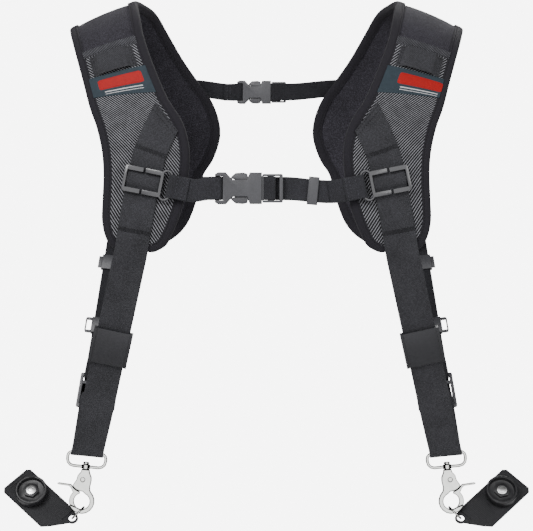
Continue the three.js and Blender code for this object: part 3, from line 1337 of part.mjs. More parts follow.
// The loop, hook, ring and camera plate hang below the strap's fold.
function buildHook(side, label) {
  const upright = placed(side, BAR, BAR_OUT, vec(-BAR_OUT.z, 0, BAR_OUT.x), vec(0, -1, 0));
  add(upright, `swivel_loop_${label}`, swivelLoop(), MATERIALS.nickel);
  add(upright, `snap_hook_${label}`, snapHook(), MATERIALS.nickel);
  add(upright, `hook_trigger_${label}`, hookTrigger(), MATERIALS.nickel);
  const eyeEnd = vec(...RING_EYE_END, 0);
  const ringUp = eyeEnd.clone().sub(vec(...RING_LUG_END, RING_FORWARD)).normalize();
  const ringDepth = vec(0, 0, 1).addScaledVector(ringUp, -ringUp.z).normalize();
  const ring = placed(upright, eyeEnd, ringDepth, ringUp, ringDepth.clone().cross(ringUp));
  add(ring, `plate_ring_${label}`, plateRing(), MATERIALS.nickel);
}

const PLATE_TO_HOOK = vec(-0.716, -0.419, -0.558).normalize();
const PLATE_FACE = vec(0, -0.8, 0.6).normalize();
const PLATE_SIDE = PLATE_FACE.clone().cross(PLATE_TO_HOOK).normalize();

function buildPlate(side, label) {
  const up = vec(-BAR_OUT.z, 0, BAR_OUT.x);
  const lug = BAR.clone()
    .addScaledVector(BAR_OUT, RING_LUG_END[0])
    .addScaledVector(up, RING_LUG_END[1])
    .add(vec(0, -RING_FORWARD, 0));
  const centre = lug.clone()
    .addScaledVector(PLATE_TO_HOOK, -(PLATE_LENGTH / 2 + LUG_REACH))
    .addScaledVector(PLATE_SIDE, LUG_OFFSET);
  const plate = placed(side, centre, PLATE_TO_HOOK, PLATE_SIDE, PLATE_FACE);
  add(plate, `camera_plate_${label}`, cameraPlate(), MATERIALS.rubber);
  const disc = new THREE.Group();
  disc.position.set(-DISC_OFFSET, 0, PLATE_WALL / 2 + GAP);
  plate.add(disc);
  add(disc, `screw_disc_${label}`, screwDisc(), MATERIALS.rubber);
  add(disc, `camera_screw_${label}`, cameraScrew(), MATERIALS.steel);
}

function buildChest(group) {
  add(group, 'chest_strap_left', chestStrapLeft(), MATERIALS.webbing);
  add(group, 'chest_strap_right', chestStrapRight(), MATERIALS.webbing);
  const middle = vec(CHEST_MOUTH, -CHEST_FORWARD, -CHEST_HEIGHT - CHEST_SAG);
  const buckle = placed(group, middle, vec(1, 0, 0), vec(0, 0, 1), vec(0, -1, 0));
  add(buckle, 'chest_buckle_female', buckleFemale(CHEST_WEBBING_WIDTH), MATERIALS.moulded);
  add(buckle, 'chest_buckle_male', buckleMale(CHEST_WEBBING_WIDTH), MATERIALS.moulded);
  const place = chestKeeperPlace();
  const keeper = placed(group, place.point, place.across, place.out.clone().cross(place.across), place.out);
  add(keeper, 'chest_keeper', chestKeeper(), MATERIALS.moulded);
}

function buildBack(group) {
  add(group, 'back_strap_left', backStrapLeft(), MATERIALS.webbing);
  add(group, 'back_strap_right', backStrapRight(), MATERIALS.webbing);
  const middle = vec(BACK_MOUTH, BACK_BEHIND, -BACK_STRAP_HEIGHT);
  const buckle = placed(group, middle, vec(1, 0, 0), vec(0, 0, -1), vec(0, 1, 0));
  add(buckle, 'back_buckle_female', buckleFemale(BACK_WEBBING_WIDTH), MATERIALS.moulded);
  add(buckle, 'back_buckle_male', buckleMale(BACK_WEBBING_WIDTH), MATERIALS.moulded);
}

const group = new THREE.Group();
for (const label of ['right', 'left']) {
  const side = new THREE.Group();
  side.name = `side_${label}`;
  side.scale.x = label === 'left' ? -1 : 1;
  group.add(side);
  buildPad(side, label);
  buildStrapFittings(side, label);
  buildHook(side, label);
  buildPlate(side, label);
}
buildChest(group);
buildBack(group);

export default group;
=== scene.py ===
"""Looks of a dual camera harness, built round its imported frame.

Sizes are in millimetres and Blender's units are metres. +Z is up and the harness faces -Y. The origin lies on
the shoulder line, midway between the two pads. The shapes follow the same named sizes as the solids.
"""

import logging
import math
from dataclasses import dataclass, field
from enum import Enum
from typing import Callable, NamedTuple, Sequence

import bmesh
import bpy
import numpy as np
from bpy.types import ID, Material, Mesh, Node, NodeSocket, NodeTree, Object
from mathutils import Matrix, Vector


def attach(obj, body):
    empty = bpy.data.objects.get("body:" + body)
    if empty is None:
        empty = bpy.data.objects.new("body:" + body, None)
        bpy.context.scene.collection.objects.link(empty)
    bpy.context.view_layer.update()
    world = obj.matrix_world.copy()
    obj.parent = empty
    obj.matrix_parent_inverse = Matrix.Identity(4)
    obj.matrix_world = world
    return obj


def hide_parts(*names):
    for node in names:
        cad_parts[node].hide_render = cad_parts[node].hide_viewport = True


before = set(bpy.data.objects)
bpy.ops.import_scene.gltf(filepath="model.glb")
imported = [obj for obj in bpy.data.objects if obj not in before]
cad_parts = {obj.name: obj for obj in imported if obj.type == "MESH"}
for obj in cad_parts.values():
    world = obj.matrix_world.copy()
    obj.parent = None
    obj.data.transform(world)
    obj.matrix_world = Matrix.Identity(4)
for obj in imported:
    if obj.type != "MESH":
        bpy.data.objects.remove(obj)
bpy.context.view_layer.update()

LOG = logging.getLogger("harness")
MM = 0.001
GAP = 0.3


class Side(Enum):
    """The two sides of the harness: the sign of X."""

    RIGHT = 1
    LEFT = -1

    @property
    def word(self) -> str:
        """The side's word in a piece's name."""
        return self.name.lower()


class Edge(Enum):
    """How a hard part's edges were left by its maker."""

    MOULDED = "moulded"
    CAST = "cast"


def mix(a: float | np.ndarray, b: float | np.ndarray, share: float) -> float | np.ndarray:
    """The value, point or direction a share of the way from a to b."""
    return a + (b - a) * share


def ease(share: float) -> float:
    """A share that starts and ends level."""
    held = np.clip(share, 0, 1)
    return held * held * (3 - 2 * held)


def unit(vectors: np.ndarray) -> np.ndarray:
    """The vectors at length one."""
    return vectors / np.linalg.norm(vectors, axis=-1, keepdims=True)


def vec(x: float, y: float, z: float) -> np.ndarray:
    """A point or direction."""
    return np.array([x, y, z], float)


def steps(start: float, stop: float, count: int) -> list[float]:
    """Evenly spaced values with both ends."""
    return list(np.linspace(start, stop, count + 1))


def travelled(points: np.ndarray) -> np.ndarray:
    """How far along its row each point lies from the first."""
    return np.concatenate([[0], np.cumsum(np.linalg.norm(np.diff(points, axis=0), axis=1))])


def faced(top: np.ndarray, under: np.ndarray) -> np.ndarray:
    """A layer's closed outlines from its two faces."""
    return np.concatenate([top, under[:, ::-1]], 1)


def linked(name: str, data: ID) -> Object:
    """A new object in the scene."""
    made = bpy.data.objects.new(name, data)
    bpy.context.scene.collection.objects.link(made)
    return made


class SmoothCurve:
    """A centripetal curve through points. Place 0 is the first point, 1 the second, and so on."""

    def __init__(self, points: Sequence, closed: bool = False) -> None:
        """Works out the curve's terms.

        Args:
            points: The points. The first three columns give the spacing.
            closed: Whether the curve returns to its first point.
        """
        p = np.asarray(points, float)
        if closed:
            before, here, after, later = np.roll(p, 1, 0), p, np.roll(p, -1, 0), np.roll(p, -2, 0)
        else:
            full = np.vstack([2 * p[0] - p[1], p, 2 * p[-1] - p[-2]])
            before, here, after, later = full[:-3], full[1:-2], full[2:-1], full[3:]
        first, second, third = (
            np.sqrt(np.linalg.norm((b - a)[:, :3], axis=1, keepdims=True)) + 1e-9
            for a, b in ((before, here), (here, after), (after, later))
        )
        leave = (here - before) / first - (after - before) / (first + second) + (after - here) / second
        arrive = (after - here) / second - (later - here) / (second + third) + (later - after) / third
        leave, arrive = leave * second, arrive * second
        self.terms = (
            here,
            leave,
            3 * (after - here) - 2 * leave - arrive,
            2 * (here - after) + leave + arrive,
        )

    def at(self, place: np.ndarray) -> np.ndarray:
        """The curve's points at the given places."""
        place = np.asarray(place, float)
        span = np.clip(np.floor(place).astype(int), 0, len(self.terms[0]) - 1)
        share = (place - span)[..., None]
        c0, c1, c2, c3 = (term[span] for term in self.terms)
        return c0 + share * (c1 + share * (c2 + share * c3))


class Section(NamedTuple):
    """A row across the pad: its two edges as shares of the half span, the depth and the drop."""

    out: float
    lie: float
    down: float
    inner_out: float
    inner_lie: float
    inner_down: float


class Mark(NamedTuple):
    """A point of a webbing's middle on a lobe: shares of the half span and of the drop."""

    out: float
    down: float


# From the shoulder top down to the front foot.
FRONT_SECTIONS = [
    Section(1.0, 0.04, 0.038, 0.655, 0.04, -0.086),
    Section(0.986, 0.26, 0.073, 0.643, 0.29, -0.045),
    Section(0.966, 0.44, 0.121, 0.625, 0.5, 0.018),
    Section(0.944, 0.56, 0.177, 0.606, 0.635, 0.088),
    Section(0.903, 0.69, 0.292, 0.555, 0.79, 0.213),
    Section(0.867, 0.79, 0.4, 0.479, 0.894, 0.362),
    Section(0.83, 0.846, 0.485, 0.405, 0.952, 0.463),
    Section(0.803, 0.885, 0.585, 0.372, 0.99, 0.571),
    Section(0.795, 0.904, 0.676, 0.375, 1.0, 0.67),
    Section(0.8, 0.913, 0.8, 0.399, 1.0, 0.793),
    Section(0.802, 0.904, 0.866, 0.423, 1.0, 0.861),
    Section(0.787, 0.894, 0.932, 0.459, 0.98, 0.933),
    Section(0.761, 0.885, 0.973, 0.489, 0.96, 0.976),
    Section(0.708, 0.875, 0.998, 0.54, 0.94, 1.0),
]

# From just behind the shoulder top down to the back foot.
BACK_SECTIONS = [
    Section(0.991, 0.23, 0.036, 0.621, 0.23, -0.086),
    Section(0.925, 0.46, 0.063, 0.571, 0.46, -0.061),
    Section(0.873, 0.6, 0.121, 0.517, 0.62, 0.017),
    Section(0.817, 0.73, 0.211, 0.441, 0.76, 0.129),
    Section(0.762, 0.825, 0.297, 0.363, 0.856, 0.225),
    Section(0.717, 0.9, 0.383, 0.29, 0.93, 0.314),
    Section(0.69, 0.94, 0.457, 0.251, 0.97, 0.405),
    Section(0.681, 0.96, 0.523, 0.246, 0.99, 0.483),
    Section(0.701, 0.97, 0.613, 0.286, 1.0, 0.588),
    Section(0.742, 0.98, 0.68, 0.334, 1.0, 0.653),
    Section(0.805, 0.98, 0.781, 0.366, 1.0, 0.759),
    Section(0.851, 0.97, 0.883, 0.424, 0.99, 0.884),
    Section(0.851, 0.95, 0.949, 0.493, 0.97, 0.946),
    Section(0.796, 0.93, 1.0, 0.606, 0.95, 0.99),
]

FRONT_WEBBING = [
    Mark(0.482, 0.442),
    Mark(0.553, 0.575),
    Mark(0.582, 0.662),
    Mark(0.611, 0.785),
    Mark(0.64, 0.92),
    Mark(0.654, 0.99),
]
BACK_WEBBING = [Mark(0.6, 0.56), Mark(0.64, 0.64), Mark(0.69, 0.75), Mark(0.735, 0.86), Mark(0.77, 0.965)]


@dataclass
class PadSurface:
    """The outer face of the pad at +X, by station from the front foot to the back foot and share across."""

    half_span: float = 221
    front_drop: float = 260
    back_drop: float = 256
    chest_depth: float = 104
    back_depth: float = 97
    crown: float = 0.035
    # What a station and a full share count for in the spacing of an inset rim.
    station_weight: float = 20
    share_weight: float = 100

    def __post_init__(self) -> None:
        """Lays the two edges and the rim's rows."""
        front = [(row, -self.chest_depth, self.front_drop) for row in reversed(FRONT_SECTIONS)]
        back = [(row, self.back_depth, self.back_drop) for row in BACK_SECTIONS]
        rows = [*front, *back]
        self.outer = SmoothCurve([(r.out * self.half_span, r.lie * d, -r.down * z) for r, d, z in rows])
        self.inner = SmoothCurve(
            [(r.inner_out * self.half_span, r.inner_lie * d, -r.inner_down * z) for r, d, z in rows]
        )
        self.last = len(rows) - 1
        self.stations = np.array([
            *steps(0, 3, 3),
            *steps(4.5, 10.5, 4),
            *steps(11.5, 16.5, 7),
            *steps(18, 24, 4),
            *steps(25, self.last, 2),
        ])
        count = len(self.stations)
        self.rim_station = np.array([*self.stations, self.last, self.last, *self.stations[::-1], 0, 0])
        self.rim_across = np.array([0] * count + [1 / 3, 2 / 3] + [1] * count + [2 / 3, 1 / 3])

    def ruled(self, station: np.ndarray, across: np.ndarray) -> np.ndarray:
        """Points on the straight lines between the edges."""
        low, high = self.outer.at(station), self.inner.at(station)
        return low + (high - low) * np.asarray(across)[..., None]

    def crowned(self, station: np.ndarray, across: np.ndarray) -> np.ndarray:
        """Points on the bulged face."""
        step = 0.05
        along = self.ruled(station + step, across) - self.ruled(station - step, across)
        inward = self.inner.at(station) - self.outer.at(station)
        rise = 4 * across * (1 - across) * self.crown * np.linalg.norm(inward, axis=-1)
        return self.ruled(station, across) + unit(np.cross(along, inward)) * rise[..., None]

    def frame(self, station: np.ndarray, across: np.ndarray) -> tuple[np.ndarray, ...]:
        """The point, both directions and the outward normal at places.

        Args:
            station: Rows along the pad.
            across: Shares from the outer edge to the inner one.

        Returns:
            The point, the direction along, the direction inward and the normal.
        """
        station, across = np.asarray(station, float), np.asarray(across, float)
        far, wide = 0.02, 0.005
        along = (self.crowned(station + far, across) - self.crowned(station - far, across)) / (2 * far)
        inward = (self.crowned(station, across + wide) - self.crowned(station, across - wide)) / (2 * wide)
        return self.crowned(station, across), along, inward, unit(np.cross(along, inward))

    def over(self, station: np.ndarray, across: np.ndarray, height: np.ndarray) -> np.ndarray:
        """Points at heights over the face."""
        point, _, _, normal = self.frame(station, across)
        return point + normal * np.asarray(height, float)[..., None]

    def nearest(self, station: np.ndarray, across: np.ndarray, target: np.ndarray) -> tuple:
        """The places nearest to target points, searched from a start."""
        for _ in range(5):
            point, along, inward, _ = self.frame(station, across)
            miss = target - point
            aa, ai, ii = ((x * y).sum(-1) for x, y in ((along, along), (along, inward), (inward, inward)))
            ma, mi = (miss * along).sum(-1), (miss * inward).sum(-1)
            scale = aa * ii - ai * ai
            station = station + (ma * ii - mi * ai) / scale
            across = across + (mi * aa - ma * ai) / scale
        return station, across

    def place_at(self, out: float, height: float, front: bool, tries: int = 24) -> tuple[float, float]:
        """The place on a lobe whose outward distance and height are given, searched from the lobe's middle."""
        station, across = (5.0 if front else self.last - 6.0), 0.5
        for _ in range(tries):
            point, along, inward, _ = self.frame(station, across)
            x, z = out - point[0], height - point[2]
            scale = along[0] * inward[2] - along[2] * inward[0]
            station = float(np.clip(station + (x * inward[2] - z * inward[0]) / scale, 0, self.last))
            across = float(np.clip(across + (z * along[0] - x * along[2]) / scale, 0, 1))
        return station, across

    def inset_curve(self, distance: float) -> SmoothCurve:
        """The rim moved inwards by a distance, as a closed curve of weighted station and share."""
        point, _, _, normal = self.frame(self.rim_station, self.rim_across)
        arriving, leaving = unit(point - np.roll(point, 1, 0)), unit(np.roll(point, -1, 0) - point)
        tangent = arriving + leaving
        mitre = np.maximum(0.5, np.linalg.norm(tangent, axis=1) / 2)
        target = point + unit(np.cross(normal, tangent)) * (distance / mitre)[:, None]
        station, across = self.nearest(self.rim_station, self.rim_across, target)
        weighted = [station * self.station_weight, across * self.share_weight, 0 * station]
        return SmoothCurve(np.stack(weighted, 1), closed=True)

    def read(self, weighted: np.ndarray) -> tuple[np.ndarray, np.ndarray]:
        """The stations and shares of an inset curve's points."""
        return weighted[..., 0] / self.station_weight, weighted[..., 1] / self.share_weight

    def loop(self, distance: float, height: float, per: int = 6) -> np.ndarray:
        """A smooth closed row of points a distance inside the rim, at a height over the face."""
        rim = self.inset_curve(distance).at(np.arange(len(self.rim_station) * per) / per)
        return self.over(*self.read(rim), np.full(len(rim), height))

    def layer(
        self, stations: Sequence[float], inset: float, columns: int, height: Callable, back: Callable
    ) -> tuple[np.ndarray, np.ndarray]:
        """A layer on the pad between two insets of its edges.

        Args:
            stations: The rows.
            inset: The distance from the pad's edges to the layer's.
            columns: How many columns the layer has.
            height: Gives the top's height from the station and the distance to the layer's nearer edge.
            back: Gives the underside's height in the same way.

        Returns:
            The outlines, one for each row, and the matching pattern coordinates in millimetres.
        """
        curve = self.inset_curve(inset)
        place = np.interp(stations, self.stations, np.arange(len(self.stations)))
        start, stop = curve.at(place), curve.at(2 * len(self.stations) + 1 - place)
        even = np.linspace(0, 1, columns + 1)
        share = 0.5 * (1 - np.cos(math.pi * even)) / 2 + 0.5 * even
        station, across = self.read(start[:, None] + (stop - start)[:, None] * share[None, :, None])
        flat = self.over(station, across, 0 * station)
        gone = np.stack([travelled(row) for row in flat])
        width = gone[:, -1:]
        edge = np.minimum(gone, width - gone)
        faces = [self.over(station, across, rise(station, edge) + 0 * station) for rise in (height, back)]
        along = travelled(flat[:, columns // 2])
        uv = np.stack([gone - width / 2, np.repeat(along[:, None], columns + 1, 1)], 2)
        return faced(*faces), faced(uv, uv)


PAD = PadSurface()


def tube(
    name: str,
    outlines: np.ndarray,
    uv: np.ndarray,
    side: Side = Side.RIGHT,
    ring: bool = False,
    sharp: float = 50,
) -> Object:
    """A closed mesh through rows of matching outlines.

    Args:
        name: The piece's name.
        outlines: Rows of points in millimetres, for the +X side.
        uv: The pattern coordinates in millimetres. A ring has one row more, for its closing row.
        side: The side that the piece is on.
        ring: Whether the last row joins the first.
        sharp: The angle in degrees past which an edge shows as sharp.

    Returns:
        The object, at the origin.
    """
    rows, count = outlines.shape[:2]
    points = outlines.reshape(-1, 3) * MM * np.array([side.value, 1, 1])
    corners = []
    for i in range(rows if ring else rows - 1):
        for j in range(count):
            corners.append(((i, j), (i + 1, j), (i + 1, j + 1), (i, j + 1)))
    faces = [[(i % rows) * count + j % count for i, j in face] for face in corners]
    spots = [(i, min(j, uv.shape[1] - 1)) for face in corners for i, j in face]
    if not ring:
        for row, turn in ((0, 1), (rows - 1, -1)):
            for j in range(count // 2 - 1):
                cap = [(row, j), (row, j + 1), (row, count - 2 - j), (row, count - 1 - j)][::turn]
                faces.append([row * count + j for row, j in cap])
                spots.extend(cap)
    mesh = bpy.data.meshes.new(name)
    mesh.from_pydata(points.tolist(), [], faces)
    layer = mesh.uv_layers.new(name="cloth")
    layer.data.foreach_set("uv", np.array([uv[spot] for spot in spots], np.float32).ravel())
    solid = linked(name, mesh)
    if signed_volume(mesh) < 0:
        mesh.flip_normals()
    mesh.shade_smooth()
    mesh.set_sharp_from_angle(angle=math.radians(sharp))
    return solid


def signed_volume(mesh: Mesh) -> float:
    """The mesh's volume, which is below 0 where its faces point inwards."""
    mesh.calc_loop_triangles()
    points = np.array([v.co for v in mesh.vertices])
    corners = points[np.array([t.vertices for t in mesh.loop_triangles])]
    return float((corners[:, 0] * np.cross(corners[:, 1], corners[:, 2])).sum() / 6)


def baked(piece: Object) -> Object:
    """The piece with its modifiers' result as its plain mesh."""
    depsgraph = bpy.context.evaluated_depsgraph_get()
    depsgraph.update()
    mesh = bpy.data.meshes.new_from_object(piece.evaluated_get(depsgraph))
    piece.modifiers.clear()
    piece.data = mesh
    mesh.name = piece.name
    return piece


def linear(code: str) -> tuple[float, float, float, float]:
    """The linear colour of an sRGB hex value."""
    parts = [int(code[i : i + 2], 16) / 255 for i in (1, 3, 5)]
    return (*(p / 12.92 if p <= 0.04045 else ((p + 0.055) / 1.055) ** 2.4 for p in parts), 1.0)


def put(tree: NodeTree, kind: str, links: dict | None = None, **settings: object) -> Node:
    """Adds a node.

    Args:
        tree: The node tree.
        kind: Blender's name of the node.
        links: By input name or number, another node's socket or a value.
        settings: The node's own settings.

    Returns:
        The node.
    """
    node = tree.nodes.new(kind)
    for key, value in settings.items():
        setattr(node, key, value)
    for key, value in (links or {}).items():
        if isinstance(value, NodeSocket):
            tree.links.new(value, node.inputs[key])
        else:
            node.inputs[key].default_value = value
    return node


@dataclass(frozen=True)
class Value:
    """A node's output, which can be added and multiplied like a number."""

    tree: NodeTree
    socket: NodeSocket

    def through(self, kind: str, links: dict, **settings: object) -> "Value":
        """The first output of a further node.

        Args:
            kind: Blender's name of the node.
            links: Its inputs. A value here stands for its socket.
            settings: The node's own settings.

        Returns:
            The value that comes out.
        """
        given = {key: value.socket if isinstance(value, Value) else value for key, value in links.items()}
        return Value(self.tree, put(self.tree, kind, given, **settings).outputs[0])

    def __add__(self, other: "Value | float") -> "Value":
        """The sum."""
        return self.through("ShaderNodeMath", {0: self, 1: other}, operation="ADD")

    def __mul__(self, other: "Value | float") -> "Value":
        """The product."""
        return self.through("ShaderNodeMath", {0: self, 1: other}, operation="MULTIPLY")

    def wave(self, pitch: float) -> "Value":
        """A wave from 0 to 1 along this coordinate in millimetres."""
        turn = self * (2 * math.pi / pitch)
        return turn.through("ShaderNodeMath", {0: turn}, operation="SINE") * 0.5 + 0.5

    def stepped(self, low: float, high: float) -> "Value":
        """0 below a bound and 1 above another."""
        bounds = {"Value": self, "From Min": low, "From Max": high}
        return self.through("ShaderNodeMapRange", bounds, interpolation_type="SMOOTHSTEP")

    def between(self, low: "Value | float", high: "Value | float") -> "Value":
        """From low where this is 0 to high where it is 1."""
        return self.through("ShaderNodeMapRange", {"Value": self, "To Min": low, "To Max": high})


def noise(tree: NodeTree, grain: float, detail: float = 2.0) -> Value:
    """A noise on object coordinates whose grain is a real size in millimetres."""
    place = Value(tree, put(tree, "ShaderNodeTexCoord").outputs["Object"])
    settings = {"Vector": place, "Scale": 1 / (grain * MM), "Detail": detail, "Roughness": 0.6}
    return place.through("ShaderNodeTexNoise", settings)


def cloth_place(tree: NodeTree) -> tuple[Value, Value]:
    """The across and along coordinates of the piece's own pattern, in millimetres."""
    found = put(tree, "ShaderNodeUVMap", uv_map="cloth")
    parts = put(tree, "ShaderNodeSeparateXYZ", {"Vector": found.outputs[0]})
    return Value(tree, parts.outputs[0]), Value(tree, parts.outputs[1])


@dataclass(frozen=True)
class Finish:
    """A finish with two tones. Subclasses say where the tones lie and how the surface rises."""

    name: str
    dark: str
    light: str
    roughness: float = 0.8
    metallic: float = 0.0
    sheen: float = 0.0
    specular: float = 0.5
    relief: float = 0.1


    def pattern(self, tree: NodeTree) -> tuple[Value, Value]:
        """The tone and the relief, each from 0 to 1."""
        raise NotImplementedError

    def make(self) -> Material:
        """Builds the material.

        Returns:
            The material, with its relief as bump.
        """
        material = bpy.data.materials.new(self.name)
        material.use_nodes = True
        tree = material.node_tree
        tree.nodes.clear()
        tone, rise = self.pattern(tree)
        colours = put(tree, "ShaderNodeMix", {"Factor": tone.socket}, data_type="RGBA")
        colours.inputs[6].default_value = linear(self.dark)
        colours.inputs[7].default_value = linear(self.light)
        raised = {"Height": rise.socket, "Strength": 1.0, "Distance": self.relief * MM}
        surface = {
            "Base Color": colours.outputs[2],
            "Roughness": self.roughness,
            "Metallic": self.metallic,
            "Normal": put(tree, "ShaderNodeBump", raised).outputs[0],
            "Specular IOR Level": self.specular,
            "Sheen Weight": self.sheen,
            "Sheen Roughness": 0.5,
        }
        shader = put(tree, "ShaderNodeBsdfPrincipled", surface)
        put(tree, "ShaderNodeOutputMaterial", {"Surface": shader.outputs[0]})
        return material


@dataclass(frozen=True)
class LaminatedKnit(Finish):
    """Polyester knit laminated on neoprene foam: matt, faintly heathered, with a soft nap."""

    grain: float = 0.9
    blotch: float = 38

    def pattern(self, tree: NodeTree) -> tuple[Value, Value]:
        """Fine knit speckle over a slow change of tone."""
        speckle = noise(tree, self.grain, 3.0).stepped(0.42, 0.66)
        return noise(tree, self.blotch, 1.0) * 0.35 + speckle * 0.75, speckle


@dataclass(frozen=True)
class WovenTape(Finish):
    """Woven polyester binding tape: fine ribs across its length, drawn coarser than the real 0.5 mm to show."""

    rib: float = 1.1
    yarn: float = 0.8

    def pattern(self, tree: NodeTree) -> tuple[Value, Value]:
        """Ribs across the tape with an uneven yarn."""
        _, along = cloth_place(tree)
        ribs, yarn = along.wave(self.rib), noise(tree, self.yarn)
        return yarn * 0.7 + ribs * 0.25, ribs + yarn


@dataclass(frozen=True)
class SpacerMesh(Finish):
    """Warp-knitted spacer mesh: bright threads in slanting rows over open dark cells."""

    row: float = 4.1
    cell: float = 3.6
    slant: float = 1.3
    counter: float = -0.7
    worn: float = 9.0

    def pattern(self, tree: NodeTree) -> tuple[Value, Value]:
        """Slanting rows of thread, broken by the open cells between them."""
        across, along = cloth_place(tree)
        rows = (across * self.slant + along).wave(self.row).stepped(0.42, 0.86)
        weave = rows * ((across * self.counter + along).wave(self.cell) * 0.3 + 0.7)
        return weave * (noise(tree, self.worn, 1.0) * 0.9 + 0.5), weave


@dataclass(frozen=True)
class Webbing(Finish):
    """Woven polypropylene webbing: uneven yarns that cross in a slanting twill."""

    yarn: float = 1.5
    counter: float = -0.55
    speck: float = 1.3
    blotch: float = 22.0

    def pattern(self, tree: NodeTree) -> tuple[Value, Value]:
        """A twill of yarns over a slow change of tone."""
        across, along = cloth_place(tree)
        weave = (across + along).wave(self.yarn * 1.4) * (across * self.counter + along).wave(self.yarn)
        uneven = noise(tree, self.speck, 3.0).stepped(0.4, 0.62)
        slow = noise(tree, self.blotch, 1.0)
        return slow * 0.4 + weave * 0.4 + uneven * 0.3, uneven * 0.5 + weave


@dataclass(frozen=True)
class DamaskLabel(Finish):
    """A woven satin label: a close, even weave with a slight gloss."""

    thread: float = 0.7
    blotch: float = 6.0

    def pattern(self, tree: NodeTree) -> tuple[Value, Value]:
        """Fine crossing threads."""
        across, along = cloth_place(tree)
        weave = across.wave(self.thread) * along.wave(self.thread * 1.3)
        return noise(tree, self.blotch) * 0.6 + weave * 0.4, weave


@dataclass(frozen=True)
class GrainyMoulding(Finish):
    """Injection-moulded acetal or rubber from a spark-eroded mould: a fine even grain."""

    grain: float = 0.6
    worn: float = 12

    def pattern(self, tree: NodeTree) -> tuple[Value, Value]:
        """Fine grain with slow handling marks."""
        grain = noise(tree, self.grain, 3.0)
        return grain * 0.5 + noise(tree, self.worn) * 0.5, grain


# Name of the point attribute that holds the painted shade on cast metal: 1 where the surface turns away from
# front and back.
PAINTED_SHADE = "turned"


@dataclass(frozen=True)
class PlatedMetal(Finish):
    """Nickel-plated die-cast zinc or lathe-cut steel: polished faces, with painted shade on cast parts where
    the surface turns away from front and back.
    """

    ripple: float = 3.5

    def pattern(self, tree: NodeTree) -> tuple[Value, Value]:
        """Slow ripples, and painted shade: a dark tone on the cast edges that turn away from front and back."""
        ripple = noise(tree, self.ripple)
        turned = Value(tree, put(tree, "ShaderNodeAttribute", attribute_name=PAINTED_SHADE).outputs["Fac"])
        return (turned * -1 + 1) * (ripple * 0.3 + 0.7), ripple


@dataclass(frozen=True)
class GroovedRubber(Finish):
    """Moulded rubber with fine grooves along one direction, so that it grips."""

    groove: float = 2.0
    grain: float = 0.7
    axis: tuple[float, float, float] = (1.0, 0.0, 0.0)

    def pattern(self, tree: NodeTree) -> tuple[Value, Value]:
        """Grooves square to the axis."""
        place = put(tree, "ShaderNodeTexCoord").outputs["Object"]
        reach = put(tree, "ShaderNodeVectorMath", {0: place, 1: self.axis}, operation="DOT_PRODUCT")
        ribs = (Value(tree, reach.outputs["Value"]) * (1 / MM)).wave(self.groove).stepped(0.2, 0.6)
        grain = noise(tree, self.grain, 3.0)
        return grain * 0.6 + ribs * 0.3, grain * 0.25 + ribs


@dataclass(frozen=True)
class SewingThread(Finish):
    """Bonded polyester sewing thread."""

    speck: float = 4.0

    def pattern(self, tree: NodeTree) -> tuple[Value, Value]:
        """A slow change of tone along the seams."""
        speck = noise(tree, self.speck)
        return speck, speck


# The direction across the grooves of the right plate.
PLATE_AXIS = (-0.7162, -0.419, -0.5583)


